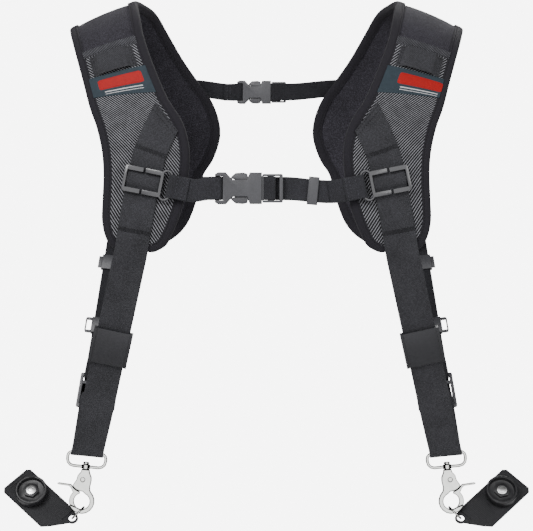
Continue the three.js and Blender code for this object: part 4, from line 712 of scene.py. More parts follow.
class Finishes:
    """Every finish of the harness, made once."""

    def __init__(self) -> None:
        """Builds the materials."""
        soft = {"sheen": 0.05, "specular": 0.25, "relief": 0.25}
        satin = {"specular": 0.25, "relief": 0.08}
        rubber = {"roughness": 0.65, "specular": 0.35, "relief": 0.45}
        made = [
            LaminatedKnit("neoprene_knit", "#161518", "#44424a", 0.92, sheen=0.05, specular=0.15, relief=0.12),
            WovenTape("binding_tape", "#131216", "#2d2b31", 0.88, sheen=0.05, specular=0.2, relief=0.15),
            SpacerMesh("spacer_mesh", "#050506", "#909096", 0.85, specular=0.2, relief=0.6),
            SpacerMesh("hem_mesh", "#141416", "#66666c", 0.85, specular=0.2, relief=0.3, row=2.6, cell=2.4),
            Webbing("webbing", "#0e0e10", "#46464b", 0.82, **soft),
            Webbing("webbing_dark", "#0a0a0b", "#3c3c42", 0.82, **soft),
            # The next finish is the same webbing drawn darker: painted shade for the straps at the back.
            Webbing("webbing_rear", "#0d0d0f", "#36363b", 0.85, specular=0.2, relief=0.25),
            DamaskLabel("label_cloth", "#1b252c", "#323f48", 0.7, **satin),
            DamaskLabel("label_stripe", "#8a0000", "#b40000", 0.6, **satin),
            DamaskLabel("label_line", "#a8a8ab", "#dcdcde", 0.6, **satin),
            GrainyMoulding("acetal", "#19191c", "#47474c", 0.42, specular=0.5, relief=0.14),
            GrainyMoulding("gloss_acetal", "#18181b", "#34343a", 0.2, specular=0.7, relief=0.03),
            GrainyMoulding("disc_rubber", "#0e0e10", "#1f1f22", 0.45, specular=0.45, relief=0.05),
            GrainyMoulding("stopper_moulding", "#101013", "#25252a", 0.5, specular=0.35, relief=0.08),
            # The dark tones of nickel and steel are painted shade on edges that turn away from front and back;
            # the light tones are the polished metal.
            PlatedMetal("nickel", "#0b0b0b", "#e6e7e3", 0.14, metallic=1.0, ripple=6, relief=0.02),
            PlatedMetal("steel", "#2a2a2a", "#f2f2f2", 0.3, metallic=1.0, ripple=1.2, relief=0.03),
            SewingThread("thread", "#2f2f35", "#55555c", 0.7, specular=0.3, relief=0.05),
            # thread_dark is near-black partly as painted shade: across the carry straps its rows also stand in
            # for the shade in the dents the bar-tacks press.
            SewingThread("thread_dark", "#040405", "#0e0e10", 0.8, specular=0.2, relief=0.05),
        ]
        for side in Side:
            axis = (side.value * PLATE_AXIS[0], *PLATE_AXIS[1:])
            made.append(GroovedRubber(f"rubber_{side.word}", "#0e0e10", "#26262a", axis=axis, **rubber))
        self.by_name = {finish.name: finish.make() for finish in made}

    def seat(
        self, piece: Object, finish: str, slot: str, *nodes: str, body: str = "harness"
    ) -> Object:
        """Dresses a finished piece and sets it on its body.

        Args:
            piece: The piece.
            finish: The name of its finish.
            slot: The record's material slot; not used.
            nodes: The solids that it stands for.
            body: The body that it rides on.

        Returns:
            The piece.
        """
        piece.data.materials.clear()
        piece.data.materials.append(self.by_name[finish])
        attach(piece, body)
        if nodes:
            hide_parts(*nodes)
        LOG.info("%s on %s, %d faces", piece.name, body, len(piece.data.polygons))
        return piece


@dataclass
class Seams:
    """Rows of stitches along paths, made by Geometry Nodes."""

    finishes: Finishes
    pitch: float = 3.2
    stitch: float = 2.5
    thread: float = 0.55
    group: NodeTree = field(init=False)

    def __post_init__(self) -> None:
        """Builds the node group: it resamples each path and sets a stitch at every pitch."""
        tree = bpy.data.node_groups.new("sewn_rows", "GeometryNodeTree")
        sizes = {name: "Float" for name in ("Pitch", "Stitch", "Thread")}
        for name, kind in {"Paths": "Geometry", **sizes, "Finish": "Material"}.items():
            tree.interface.new_socket(name, in_out="INPUT", socket_type=f"NodeSocket{kind}")
        tree.interface.new_socket("Stitches", in_out="OUTPUT", socket_type="NodeSocketGeometry")
        given = put(tree, "NodeGroupInput").outputs
        curve = put(tree, "GeometryNodeMeshToCurve", {"Mesh": given["Paths"]})
        spacing = {"Curve": curve.outputs[0], "Length": given["Pitch"]}
        rows = put(tree, "GeometryNodeResampleCurve", spacing, mode="LENGTH")
        bead = put(tree, "GeometryNodeMeshIcoSphere", {"Radius": 0.5, "Subdivisions": 1})
        size = put(tree, "ShaderNodeCombineXYZ", {0: given["Stitch"], 1: given["Thread"], 2: given["Thread"]})
        tangent = put(tree, "GeometryNodeInputTangent")
        turn = put(tree, "FunctionNodeAlignRotationToVector", {"Vector": tangent.outputs[0]}, axis="X")
        stitches = {"Points": rows, "Instance": bead, "Rotation": turn, "Scale": size}
        sockets = {name: node.outputs[0] for name, node in stitches.items()}
        laid = put(tree, "GeometryNodeInstanceOnPoints", sockets)
        real = put(tree, "GeometryNodeRealizeInstances", {0: laid.outputs[0]})
        sewn = {"Geometry": real.outputs[0], "Material": given["Finish"]}
        dressed = put(tree, "GeometryNodeSetMaterial", sewn)
        put(tree, "NodeGroupOutput", {0: dressed.outputs[0]})
        self.group = tree

    def sew(
        self,
        name: str,
        paths: Sequence[np.ndarray],
        finish: str = "thread_dark",
        slot: str = "webbing",
        side: Side = Side.RIGHT,
    ) -> Object:
        """Sews every path of one piece.

        Args:
            name: The piece's name.
            paths: Each path's points in millimetres, on the +X side.
            finish: The thread's finish.
            slot: The record's material slot.
            side: The side that the seams are on.

        Returns:
            The stitches as one mesh.
        """
        points, edges = [], []
        for path in paths:
            first = len(points)
            points.extend((path * MM * np.array([side.value, 1, 1])).tolist())
            edges.extend((first + i, first + i + 1) for i in range(len(path) - 1))
        mesh = bpy.data.meshes.new(name)
        mesh.from_pydata(points, edges, [])
        sewn = linked(name, mesh)
        modifier = sewn.modifiers.new("sewn_rows", "NODES")
        modifier.node_group = self.group
        values = {
            "Pitch": self.pitch * MM,
            "Stitch": self.stitch * MM,
            "Thread": self.thread * MM,
            "Finish": self.finishes.by_name[finish],
        }
        for item in self.group.interface.items_tree:
            if item.in_out == "INPUT" and item.name in values:
                modifier[item.identifier] = values[item.name]
        baked(sewn).data.shade_smooth()
        return self.finishes.seat(sewn, finish, slot)


@dataclass
class Padding:
    """The foam of a pad, swelled between its bound edges by a cloth simulation."""

    core: float = 5
    inset: float = 3.3
    rows: int = 150
    columns: int = 24
    shrink: float = 0.35
    rounding: float = 0.9
    rounding_reach: float = 4
    voxel: float = 3.0
    pressure: float = 4.0
    frames: int = 20
    swell_out: float = 1.5
    swell_in: float = 2.2
    swell_rim: float = 0.3
    swell_under_mesh: float = 0.2
    hem_station: float = 9.75

    def build(self) -> Object:
        """The pad at +X: its slab, remeshed, swelled and smoothed.

        Returns:
            The padded piece.
        """
        rows = np.interp(np.linspace(0, 1, self.rows), np.linspace(0, 1, len(PAD.stations)), PAD.stations)

        def sunk(edge: np.ndarray) -> np.ndarray:
            """How far a face lies inside the solid's, more at the rim."""
            return self.shrink + self.rounding * np.exp(-edge / self.rounding_reach)

        outlines, uv = PAD.layer(
            rows, self.inset, self.columns, lambda s, e: -sunk(e), lambda s, e: sunk(e) - self.core
        )
        pad = tube("padding_right", outlines, uv)
        remesh = pad.modifiers.new("even", "REMESH")
        remesh.mode = "VOXEL"
        remesh.voxel_size = self.voxel * MM
        baked(pad)
        self.swell(pad)
        finer = pad.modifiers.new("finer", "SUBSURF")
        finer.levels = finer.render_levels = 1
        baked(pad)
        pad.data.shade_smooth()
        return pad

    def swell(self, pad: Object) -> None:
        """Blows the pad up a little as cloth, and caps how far each point moves."""
        before = np.array([v.co for v in pad.data.vertices])
        normals = np.array([v.normal for v in pad.data.vertices])
        cloth = pad.modifiers.new("cloth", "CLOTH")
        cloth.settings.use_pressure = True
        cloth.settings.uniform_pressure_force = self.pressure
        cloth.settings.effector_weights.gravity = 0
        cloth.point_cache.frame_end = self.frames
        scene = bpy.context.scene
        for step in range(1, self.frames + 1):
            scene.frame_set(step)
        moved = pad.evaluated_get(bpy.context.evaluated_depsgraph_get()).data
        after = np.array([v.co for v in moved.vertices])
        pad.modifiers.clear()
        scene.frame_set(1)
        move = after - before
        outward = (move * normals).sum(1)
        cap = self.cap(before) * MM
        held = cap * np.tanh(np.maximum(outward, 0) / np.maximum(cap, 1e-6))
        pad.data.vertices.foreach_set("co", (before + normals * held[:, None]).astype(np.float32).ravel())
        pad.data.update()

    def cap(self, points: np.ndarray) -> np.ndarray:
        """How far each point may move: least under the mesh panel, and most on the body's side.

        Args:
            points: The points in metres.

        Returns:
            The caps in millimetres.
        """


        grid = np.meshgrid(np.linspace(0, PAD.last, 110), np.linspace(0.02, 0.98, 15), indexing="ij")
        station, across = (values.ravel() for values in grid)
        samples, _, _, normal = PAD.frame(station, across)
        inside = np.minimum(4 * across * (1 - across), 1)
        caps = np.zeros(len(points))
        for i, point in enumerate(points / MM):
            near = int(((samples - point) ** 2).sum(1).argmin())
            if float((point - samples[near]) @ normal[near]) < -self.core / 2:
                caps[i] = mix(self.swell_rim, self.swell_in, inside[near])
            elif station[near] < self.hem_station:
                caps[i] = self.swell_under_mesh
            else:
                caps[i] = mix(self.swell_rim, self.swell_out, inside[near])
        return caps


class LabelMark(NamedTuple):
    """A raised mark on the label: its reach along and across as shares, its finish and its corners' round."""

    word: str
    along: tuple[float, float]
    across: tuple[float, float]
    finish: str
    round: float


LABEL_MARKS = [
    LabelMark("stripe", (0.35, 0.8), (0.1, 0.7), "label_stripe", 0.09),
    LabelMark("line_wide", (0.2, 0.25), (0.14, 0.64), "label_line", 0),
    LabelMark("line_narrow", (0.11, 0.14), (0.14, 0.64), "label_line", 0),
]


@dataclass
class ShoulderPad:
    """A pad with its binding, mesh panel, hem, label, and utility loop."""

    finishes: Finishes
    seams: Seams
    core: float = 5
    binding_width: float = 10.5
    binding_wall: float = 0.85
    binding_gap: float = 0.65
    binding_roll: float = 3
    binding_seam: float = 2.1
    mesh_wall: float = 1.2
    mesh_under: float = 3.5
    mesh_puff: float = 5.5
    hem_station: float = 9.75
    hem_height: float = 9
    hem_rise: float = 1.9
    hem_seams: tuple[float, float] = (0.24, 0.76)
    hem_dent: float = 0.55
    label_station: float = 9
    label_height: float = 27
    label_wall: float = 0.8
    mark_rise: float = 0.28
    mark_mirror: float = 0.91
    across_mm: float = 90
    station_mm: float = 20
    loop_height: float = 24
    loop_rise: float = 3.2
    loop_wall: float = 1.3
    loop_ends: tuple[float, float] = (0.19, 0.8)
    loop_seams: tuple[float, ...] = (0.212, 0.236, 0.754, 0.778)

    def __post_init__(self) -> None:
        """Works out the layers' heights."""
        self.skin = GAP + self.mesh_wall
        self.tape_top = self.binding_gap + self.binding_wall
        self.tape_bottom = -self.core - self.tape_top

    def station_from(self, station: float, distance: float) -> float:
        """The station a distance along the pad's middle from another one."""
        return station + distance / float(np.linalg.norm(PAD.frame(station, 0.5)[1]))

    def binding(self, side: Side) -> Object:
        """The folded tape round the pad's edge, dented along its stitches."""
        width, top, bottom, wall = self.binding_width, self.tape_top, self.tape_bottom, self.binding_wall
        middle = (top + bottom) / 2
        # Insets from the tape's inner edge, and rises over its top.
        bulge = [(0, -0.25), (0.5, 0.1), (1.3, 0.1), (2.1, -0.22), (2.9, 0.15), (5, 0.4)]
        bulge.extend([(width - 2.4, 0.2), (width - 0.9, -0.7)])
        upper = [(width - inside, top + rise) for inside, rise in bulge]
        lower = [(inside, 2 * middle - height) for inside, height in reversed(upper)]
        inner = [
            (width, bottom + wall),
            (self.binding_roll * 0.8, bottom + wall),
            (wall, middle),
            (self.binding_roll * 0.8, top - wall),
            (width, top - wall),
        ]
        profile = [*upper, (0, middle), *lower, *inner]
        loops = np.stack([PAD.loop(max(inside, 0), height) for inside, height in profile], 1)
        along = travelled(np.vstack([loops[:, 0], loops[:1, 0]]))
        gone = travelled(np.array(profile))
        uv = np.stack(np.meshgrid(np.append(gone, gone[-1] + wall), along), 2)
        return tube(f"binding_tape_{side.word}", loops, uv, side, ring=True, sharp=60)

    def panel(self, side: Side) -> Object:
        """The mesh panel, which puffs up from under the binding."""
        rows = np.linspace(0, self.hem_station, 100)

        def puff(_: np.ndarray, edge: np.ndarray) -> np.ndarray:
            """The mesh's height."""
            return mix(0.25, self.skin, ease(edge / self.mesh_puff))

        low = self.binding_width - self.mesh_under
        outlines, uv = PAD.layer(rows, low, 40, puff, lambda s, e: 0.1 + 0 * e)
        panel = tube(f"air_mesh_{side.word}", outlines, uv, side)
        return panel

    def hem(self, side: Side) -> tuple[Object, list[np.ndarray]]:
        """The rolled hem over the mesh's upper edge, and its two rows of stitches."""
        start = self.station_from(self.hem_station, GAP)
        stop = self.station_from(start, self.hem_height)
        rows = np.linspace(start - 0.05, stop, 12)

        def roll(s: np.ndarray, e: np.ndarray) -> np.ndarray:
            """The hem's height: two sewn channels and a soft roll between them."""
            share = np.clip((s - s.min()) / (s.max() - s.min()), 0, 1)
            dent = sum(np.exp(-(((share - at) / 0.07) ** 2)) for at in self.hem_seams)
            edge = ease(np.minimum(share, 1 - share) / 0.12)
            swell = self.hem_rise * (0.95 + share * (1 - share))
            return GAP + (0.5 + 0.5 * edge) * swell - self.hem_dent * dent

        outlines, uv = PAD.layer(rows, self.binding_width - 1.5, 40, roll, lambda s, e: GAP * 0.5 + 0 * e)
        across, high = np.linspace(0.13, 0.87, 30), np.full(30, GAP + self.hem_rise * 0.95)
        paths = [PAD.over(np.full(30, mix(rows[0], rows[-1], share)), across, high) for share in self.hem_seams]
        return tube(f"hem_{side.word}", outlines, uv, side), paths

    def label(self, side: Side) -> list[Object]:
        """The label patch, with a plain raised stripe and two woven lines after it."""
        end = self.station_from(self.label_station, -self.label_height)
        base = self.skin + 0.05
        rows = np.linspace(end, self.label_station, 24)

        def lie(s: np.ndarray, e: np.ndarray) -> np.ndarray:
            """The patch's height, thinner at its turned edges."""
            share = (s - rows[0]) / (rows[-1] - rows[0])
            return base + self.label_wall * (0.55 + 0.45 * ease(np.minimum(share, 1 - share) / 0.06))

        outlines, uv = PAD.layer(rows, self.binding_width - 2, 30, lie, lambda s, e: base - 0.4 + 0 * e)
        patch = tube(f"label_{side.word}", outlines, uv, side)
        return [patch, *(self.mark(mark, end, base, side) for mark in LABEL_MARKS)]

    def mark(self, mark: LabelMark, end: float, base: float, side: Side) -> Object:
        """A raised mark on the label.

        Args:
            mark: The mark.
            end: The station of the label's lower edge.
            base: The height of the label's underside.
            side: The side.

        Returns:
            The mark's mesh.
        """
        stations = np.linspace(*(mix(end, self.label_station, share) for share in mark.along), 20)
        shares = np.linspace(*mark.across, 30)
        if side is Side.LEFT:
            shares = self.mark_mirror - shares[::-1]
        s, a = np.meshgrid(stations, shares, indexing="ij")
        v, h = np.linspace(-1, 1, 20)[:, None], np.linspace(-1, 1, 30)[None]
        corner = np.clip((np.abs(v) - 0.6) / 0.4, 0, 1)
        a = mix(shares.mean(), a, 1 - mark.round * (1 - np.sqrt(1 - corner**2)))
        slope = np.minimum(1, 6 * (1 - np.abs(h))) * np.minimum(1, 6 * (1 - np.abs(v)))
        top = PAD.over(s, a, base + self.label_wall + self.mark_rise * slope)
        under = PAD.over(s, a, np.full(s.shape, base + self.label_wall * 0.6))
        flat = np.stack([a * self.across_mm, s * self.station_mm], 2)
        return tube(f"label_{mark.word}_{side.word}", faced(top, under), faced(flat, flat), side)

    def utility_loop(self, side: Side) -> tuple[Object, list[np.ndarray]]:
        """The webbing loop above the label, sewn down at both ends."""
        low = self.station_from(self.label_station, 4 * GAP)
        high = min(self.station_from(low, self.loop_height), self.station_from(self.hem_station, -GAP))
        left, right = self.loop_ends
        shares = np.linspace(left, right, 60)
        foot = np.minimum(shares - left, right - shares) / (right - left)
        stand = self.skin + GAP * 0.4 + self.loop_rise * ease((foot - 0.1) / 0.12)
        s, a = np.meshgrid(np.linspace(low, high, 6), shares, indexing="ij")
        heights = np.repeat(stand[None], 6, 0)
        soft = self.loop_wall * (0.6 + 0.4 * ease(np.minimum(np.arange(6), 5 - np.arange(6))))[:, None]
        top, under = PAD.over(s, a, heights + soft), PAD.over(s, a, heights)
        flat = np.stack([s * self.loop_height, a * self.across_mm], 2)
        rows = np.linspace(mix(low, high, 0.1), mix(low, high, 0.9), 12)
        over = np.full(12, stand[0] + self.loop_wall + 0.1)
        paths = [PAD.over(rows, np.full(12, share), over) for share in self.loop_seams]
        return tube(f"utility_tape_{side.word}", faced(top, under), faced(flat, flat), side), paths

    def build(self, side: Side, padding: Object) -> None:
        """Builds and seats one pad.

        Args:
            side: The side.
            padding: The swelled foam at +X, which the other side mirrors.
        """
        word, seat = side.word, self.finishes.seat
        if side is Side.LEFT:
            padding = linked(f"padding_{word}", padding.data.copy())
            padding.data.transform(Matrix.Diagonal((-1, 1, 1, 1)))
            padding.data.flip_normals()
        seat(padding, "neoprene_knit", "neoprene", f"shoulder_pad_{word}")
        seat(self.binding(side), "binding_tape", "binding", f"edge_binding_{word}")
        seat(self.panel(side), "spacer_mesh", "spacer_mesh", f"mesh_panel_{word}")
        hem, hem_rows = self.hem(side)
        seat(hem, "hem_mesh", "binding", f"panel_hem_{word}")
        patch, *marks = self.label(side)
        seat(patch, "label_cloth", "label", f"label_patch_{word}")
        for piece, mark in zip(marks, LABEL_MARKS):
            seat(piece, mark.finish, "label")
        tape, tape_rows = self.utility_loop(side)
        seat(tape, "webbing", "webbing", f"utility_loop_{word}")
        rim = self.binding_width - self.binding_seam
        loops = [PAD.loop(rim, self.tape_top - 0.1), PAD.loop(rim, self.tape_bottom + 0.1)]
        rows = [np.vstack([loop, loop[:1]]) for loop in loops]
        self.seams.sew(f"pad_seams_{word}", [*rows, *hem_rows, *tape_rows], slot="binding", side=side)


class Place(NamedTuple):
    """A point of a webbing's middle, with its direction across."""

    point: np.ndarray
    across: np.ndarray


@dataclass
class Strap:
    """A length of webbing through places, with rounded edges."""

    name: str
    places: list[Place]
    width: float
    wall: float
    skew: float = 0
    step: float = 2.5

    def __post_init__(self) -> None:
        """Smooths the places into close rows."""
        points = np.array([place.point for place in self.places])
        across = np.array([place.across for place in self.places])
        curve = SmoothCurve(np.hstack([points, across]))
        spans = np.linalg.norm(np.diff(points, axis=0), axis=1)
        stops = [0.0]
        for i, span in enumerate(spans):
            count = max(2, int(round(span / self.step)))
            stops.extend(i + (j + 1) / count for j in range(count))
        rows = curve.at(np.array(stops))
        self.points, self.across = rows[:, :3], unit(rows[:, 3:])
        self.along = unit(np.gradient(self.points, axis=0))
        self.out = unit(np.cross(self.along, self.across))
        self.reach = travelled(self.points)

    def outlines(self) -> tuple[np.ndarray, np.ndarray]:
        """The strap's outlines and pattern coordinates."""
        half, wall = self.width / 2, self.wall / 2
        # Distances from the middle, and heights as shares of half the wall.
        top = [(-half, 0.15), (-half + 0.25, 0.8), (-half + 0.8, 1.06), (-half + 2, 1.0), (-half * 0.33, 0.94)]
        top = [*top, *[(-x, h) for x, h in reversed(top)]]
        profile = [*top, *[(x, -h) for x, h in reversed(top)]]
        slant = self.skew * np.maximum(0, 1 - self.reach / (3 * self.width))
        rows = []
        for x, h in profile:
            shift = -x / half * slant / 2
            rows.append(self.points + self.across * x + self.out * (h * wall) + self.along * shift[:, None])
        across = np.array([x for x, _ in profile])
        uv = np.stack(np.meshgrid(across, self.reach), 2)
        return np.stack(rows, 1), uv

    def build(self, side: Side = Side.RIGHT) -> Object:
        """The strap's mesh."""
        outlines, uv = self.outlines()
        return tube(self.name, outlines, uv, side, sharp=70)

    def seam(
        self, distance: float, face: int = 1, margin: float = 1.6, slanted: float = 0, shift: float = 0
    ) -> np.ndarray:
        """A row of stitches across the strap.

        Args:
            distance: How far along the strap the row is.
            face: 1 for the top face and -1 for the underside.
            margin: The distance from the row's ends to the strap's edges.
            slanted: How far one end of the row lies behind the other.
            shift: How far the row lies past the strap's nearest place.

        Returns:
            The row's points.
        """
        i = int(np.abs(self.reach - distance).argmin())
        spans = np.linspace(-1, 1, 8) * (self.width / 2 - margin)
        rise = self.out[i] * face * (self.wall / 2 + 0.05)
        return np.array([
            self.points[i] + self.across[i] * x + rise + self.along[i] * (shift - slanted * x / self.width)
            for x in spans
        ])


@dataclass(frozen=True)
class BuckledTape:
    """The webbing of a buckled strap, and the buckle's mouth. The buckle's height points along out on Y."""

    width: float
    wall: float
    fall: float
    mouth: tuple[float, float, float]
    out: int

    def point(self, along: float, height: float) -> Place:
        """A place beside the buckle, from its own distance and height."""
        x, y, z = self.mouth
        return Place(vec(x + along, y + self.out * height, z), vec(0, 0, 1))


@dataclass
class StrapPaths:
    """The middle lines of every strap, from the same sizes as the solids."""

    strap_width: float = 36
    strap_wall: float = 1.5
    skin: float = 1.5
    chest_height: float = 184
    chest_sag: float = 8
    back_height: float = 70
    back_rise: float = 4
    back_seat_out: float = 112
    back_seat_edge: float = 90
    flap: float = 19
    slider_centre: float = 1.6
    slider_height: float = 28
    slider_bar: float = 4.6
    slider_middle: float = 5.4
    loop_bar: float = -30.35
    chest_fold: float = 2.86
    female: float = 2.0
    female_bar: float = 0.19
    male_frame: float = 0.89
    male_near: float = 0.23
    male_bar: float = 0.29
    male_wall: float = 0.2
    bar_wall: float = 3.2
    middle_wall: float = 2.2
    female_slack: float = 0.1
    male_slack: float = 0.13
    buckle_lead: float = 4
    strap_leave: float = 1.8
    leave_from: float = 0.84
    leave_over: float = 0.12
    lift_level: float = 3
    lift_short: float = 2
    settle: float = 0.12
    adjuster_place: float = 75
    adjuster_length: float = 42
    adjuster_bar: float = 4.4
    adjuster_wall: float = 3.4
    adjuster_lead: float = 3
    adjuster_past: float = 2
    adjuster_rise: float = 20
    adjuster_clear: float = 9
    rear_tail: float = 186
    bar_place: tuple[float, float, float] = (199.6, -22, -482.6)
    bar_lean: float = 5.5
    loop_wire: float = 4
    steer_rise: float = 46
    steer_in: float = 0.26
    steer_forward: float = 0.42

    def __post_init__(self) -> None:
        """Sets the bar, the runs and their heights."""
        self.chest_tape = BuckledTape(25, 1.3, 2.3, (-4.8, -113, -self.chest_height - self.chest_sag), -1)
        self.back_tape = BuckledTape(20, 1.2, 1.3, (5.3, 92, -self.back_height), 1)
        lean = math.radians(self.bar_lean)
        self.bar = vec(*self.bar_place)
        self.bar_out = vec(math.cos(lean), 0, math.sin(lean))
        self.fold = self.loop_wire / 2 + 2 * GAP + self.strap_wall / 2
        shares = [0, 0.12, 0.24, 0.34, *steps(0.38, 0.6, 9), 0.7, 0.8, 0.9, 1]
        self.front, faces = self.lobe(FRONT_WEBBING, PAD.front_drop, True, self.strap_lift, shares)
        self.back, _ = self.lobe(BACK_WEBBING, PAD.back_drop, False, self.rear_lift, steps(0, 1, 8))
        beside = min(range(len(faces)), key=lambda i: abs(self.front[i].point[2] + self.chest_height))
        self.slider_out = faces[beside][3]
        self.slider_across = self.front[beside].across
        self.slider_up = unit(np.cross(self.slider_out, self.slider_across))
        out = self.slider_across * self.loop_bar + self.slider_out * self.slider_middle
        self.slider_point = faces[beside][0] + out
        self.steer = self.bar + self.steer_rise * vec(-self.steer_in, -self.steer_forward, 1)
        run = self.steer - self.front[-1].point
        self.front_reach = float(np.linalg.norm(run))
        self.front_run = unit(run)
        self.front_across = unit(vec(1, 0, 0) - self.front_run * self.front_run[0])
        rear = self.back[-1].point - self.bar
        self.rear_reach = float(np.linalg.norm(rear))
        self.rear_run = unit(rear)
        self.rear_across = unit(self.bar_out - self.rear_run * float(self.bar_out @ self.rear_run))
        self.rear_out = unit(np.cross(self.rear_run, self.rear_across))
        self.layer = self.strap_wall + GAP
        self.rear_high = self.fold + self.layer
        self.turn = self.adjuster_wall / 2 + 1.5 * GAP + self.strap_wall / 2

    def strap_lift(self, height: float) -> float:
        """The carry strap's underside over the front lobe: it rises over the slider's middle bar."""
        away = abs(height + self.chest_height)
        span = self.slider_height / 2 - self.slider_bar - self.lift_short
        share = 1 - (away - self.lift_level) / span
        return self.skin + GAP + (self.slider_centre + GAP) * float(ease(share))

    def rear_lift(self, height: float) -> float:
        """The rear strap's underside over the back lobe: it leaves the lobe towards the foot."""
        share = (-height - self.leave_from * PAD.back_drop) / (self.leave_over * PAD.back_drop)
        return self.skin + 2 * GAP + self.strap_leave * float(ease(share))

    def lobe(
        self,
        marks: list[Mark],
        drop: float,
        front: bool,
        lift: Callable[[float], float],
        shares: Sequence[float],
    ) -> tuple[list[Place], list]:
        """Places along a lobe, lifted off its face.

        Args:
            marks: The webbing's middle.
            drop: The lobe's drop.
            front: Whether it is the front lobe.
            lift: Gives the underside's height over the face from the point's height.
            shares: Shares of the run.

        Returns:
            The places, and the face's point, directions and normal under each.
        """
        flat = SmoothCurve([(m.out * PAD.half_span, 0, -m.down * drop) for m in marks])
        frames = []
        for share in shares:
            target = flat.at(share * (len(marks) - 1))
            frames.append(PAD.frame(*PAD.place_at(target[0], target[2], front)))
        made = []
        for i, (point, _, _, normal) in enumerate(frames):
            down = unit(frames[min(i + 1, len(frames) - 1)][0] - frames[max(i - 1, 0)][0])
            across = unit(np.cross(normal, down)) * (1 if front else -1)
            made.append(Place(point + normal * (lift(point[2]) + self.strap_wall / 2), across))
        return made, frames

    def rear_place(self, distance: float, height: float) -> Place:
        """A place on the rear run: a distance up from the bar and a height on its outer side."""
        return Place(self.bar + self.rear_run * distance + self.rear_out * height, self.rear_across)

    def rear_height(self, distance: float) -> float:
        """The rear strap's height over the straight line to the back lobe's foot."""
        return self.rear_high * float(ease(2 * (1 - distance / self.rear_reach)))

    def carry(self) -> list[Place]:
        """The carry strap: down the front lobe, round the loop's bar and up the rear run."""
        end = self.front[-1]
        run = []
        for share in steps(self.settle, 1, 4):
            across = unit(mix(end.across, self.front_across, min(share / self.settle, 1)))
            run.append(Place(end.point + self.front_run * (self.front_reach * share), across))
        arriving = unit(self.bar - self.steer)
        out = unit(np.cross(arriving, self.bar_out))
        arrival = self.bar + out * self.fold
        bend = []
        for share in (0.3, 0.6, 0.85):
            across = unit(mix(self.front_across, self.bar_out, float(ease(share))))
            bend.append(Place(mix(self.steer, arrival, share), across))
        down = -unit(np.cross(self.bar_out, vec(0, 1, 0)))
        turn = math.acos(float(out @ self.rear_out))
        axis = Vector(unit(np.cross(out, down)))
        fold = [
            Place(self.bar + np.array(Matrix.Rotation(angle, 3, axis) @ Vector(out)) * self.fold, self.bar_out)
            for angle in steps(0, turn, 7)
        ]
        lower = self.adjuster_place - self.adjuster_length / 2
        inside = self.rear_high - 2 * self.turn
        over = self.rear_high + self.layer
        past = lower + self.adjuster_bar + self.adjuster_past
        rear = [
            self.rear_place(lower * 0.5, mix(self.fold, inside, 0.5)),
            self.rear_place(lower - self.adjuster_lead, inside),
            self.rear_place(past, inside),
        ]
        for share in (0.2, 0.4, 0.6, 0.8):
            height = mix(inside, over, float(ease(share)))
            rear.append(self.rear_place(past + self.adjuster_rise * share, height))
        for distance in steps(lower + self.adjuster_length - self.adjuster_clear, self.rear_tail, 4):
            rear.append(self.rear_place(distance, self.rear_height(distance) + self.layer))
        return [*self.front, *run, *bend, *fold, *rear]

    def rear(self) -> list[Place]:
        """The rear strap: down from the back lobe, round the adjuster's top bar, and a short flap."""
        bar = self.adjuster_place + self.adjuster_length / 2 - self.adjuster_bar / 2
        around = self.adjuster_bar / 2 + GAP + self.strap_wall / 2
        middle = self.rear_high - self.turn
        down = [
            self.rear_place(self.rear_reach * share, self.rear_height(self.rear_reach * share))
            for share in (0.93, 0.85, 0.75, 0.65, 0.55)
        ]
        # Shares of the way round the bar, and heights as shares of the turn.
        corner = [(0, 1), (0.68, 1), (0.93, 0.88), (1, 0.6)]
        corner = [*corner, *[(reach, -height) for reach, height in reversed(corner)]]
        fold = [self.rear_place(bar - around * reach, middle + self.turn * height) for reach, height in corner]
        flap = [
            self.rear_place(bar + 7, mix(middle - self.turn, self.rear_high - self.layer, 0.3)),
            self.rear_place(bar + self.flap, self.rear_high - self.layer),
        ]
        return [*self.back, *down, self.rear_place(bar + 6, self.rear_high), *fold, *flap]

    def chest_run(self, buckle_end: float, height: float) -> list[Place]:
        """A chest strap on the +X side, from its flap round the slider's bar to a buckle."""

        def at(distance: float, height: float) -> Place:
            """A place at a distance from the bar towards the middle and a height over it."""
            point = self.slider_point - self.slider_across * distance + self.slider_out * height
            return Place(point, self.slider_up)

        tape = self.chest_tape
        low = -self.chest_fold + tape.wall + GAP
        flap = [at(d, mix(self.chest_fold, low, float(ease(d / 9)))) for d in (self.flap, 13, 9, 6, 3)]
        fold = [at(-self.chest_fold * math.sin(a), self.chest_fold * math.cos(a)) for a in steps(0, math.pi, 6)]
        start = at(self.flap + 3, -self.chest_fold).point
        end = vec(buckle_end, tape.mouth[1] + tape.out * height, tape.mouth[2])
        reach = float(np.linalg.norm(end - start)) / 3
        path = bezier(start, start - self.slider_across * reach, end + vec(reach, 0, 0), end)
        run = [Place(path(s), unit(mix(self.slider_up, vec(0, 0, 1), float(ease(s))))) for s in steps(0, 1, 8)]
        return [*flap, *fold, *run]

    def female_thread(self, tape: BuckledTape) -> list[tuple[float, float]]:
        """The way round the female half's bar: distance from the mouth and height."""
        width, wall = tape.width, tape.wall
        inner = (-self.female + self.female_bar) * width
        height = self.bar_wall / 2 + GAP + wall / 2
        around = GAP + wall / 2
        slack = self.female_slack * width
        bar = self.female_bar * width
        return [
            (inner - bar, height),
            (inner - 0.6, height),
            (inner + around * 0.7 + slack * 0.6, height * 0.75),
            (inner + around + slack, 0),
            (inner + around * 0.7 + slack * 0.6, -height * 0.75),
            (inner - 0.6, -height),
            (inner - bar, -height),
            (inner - bar - 8, -0.4 * height),
            (inner - self.flap, height - wall - GAP - tape.fall),
        ]

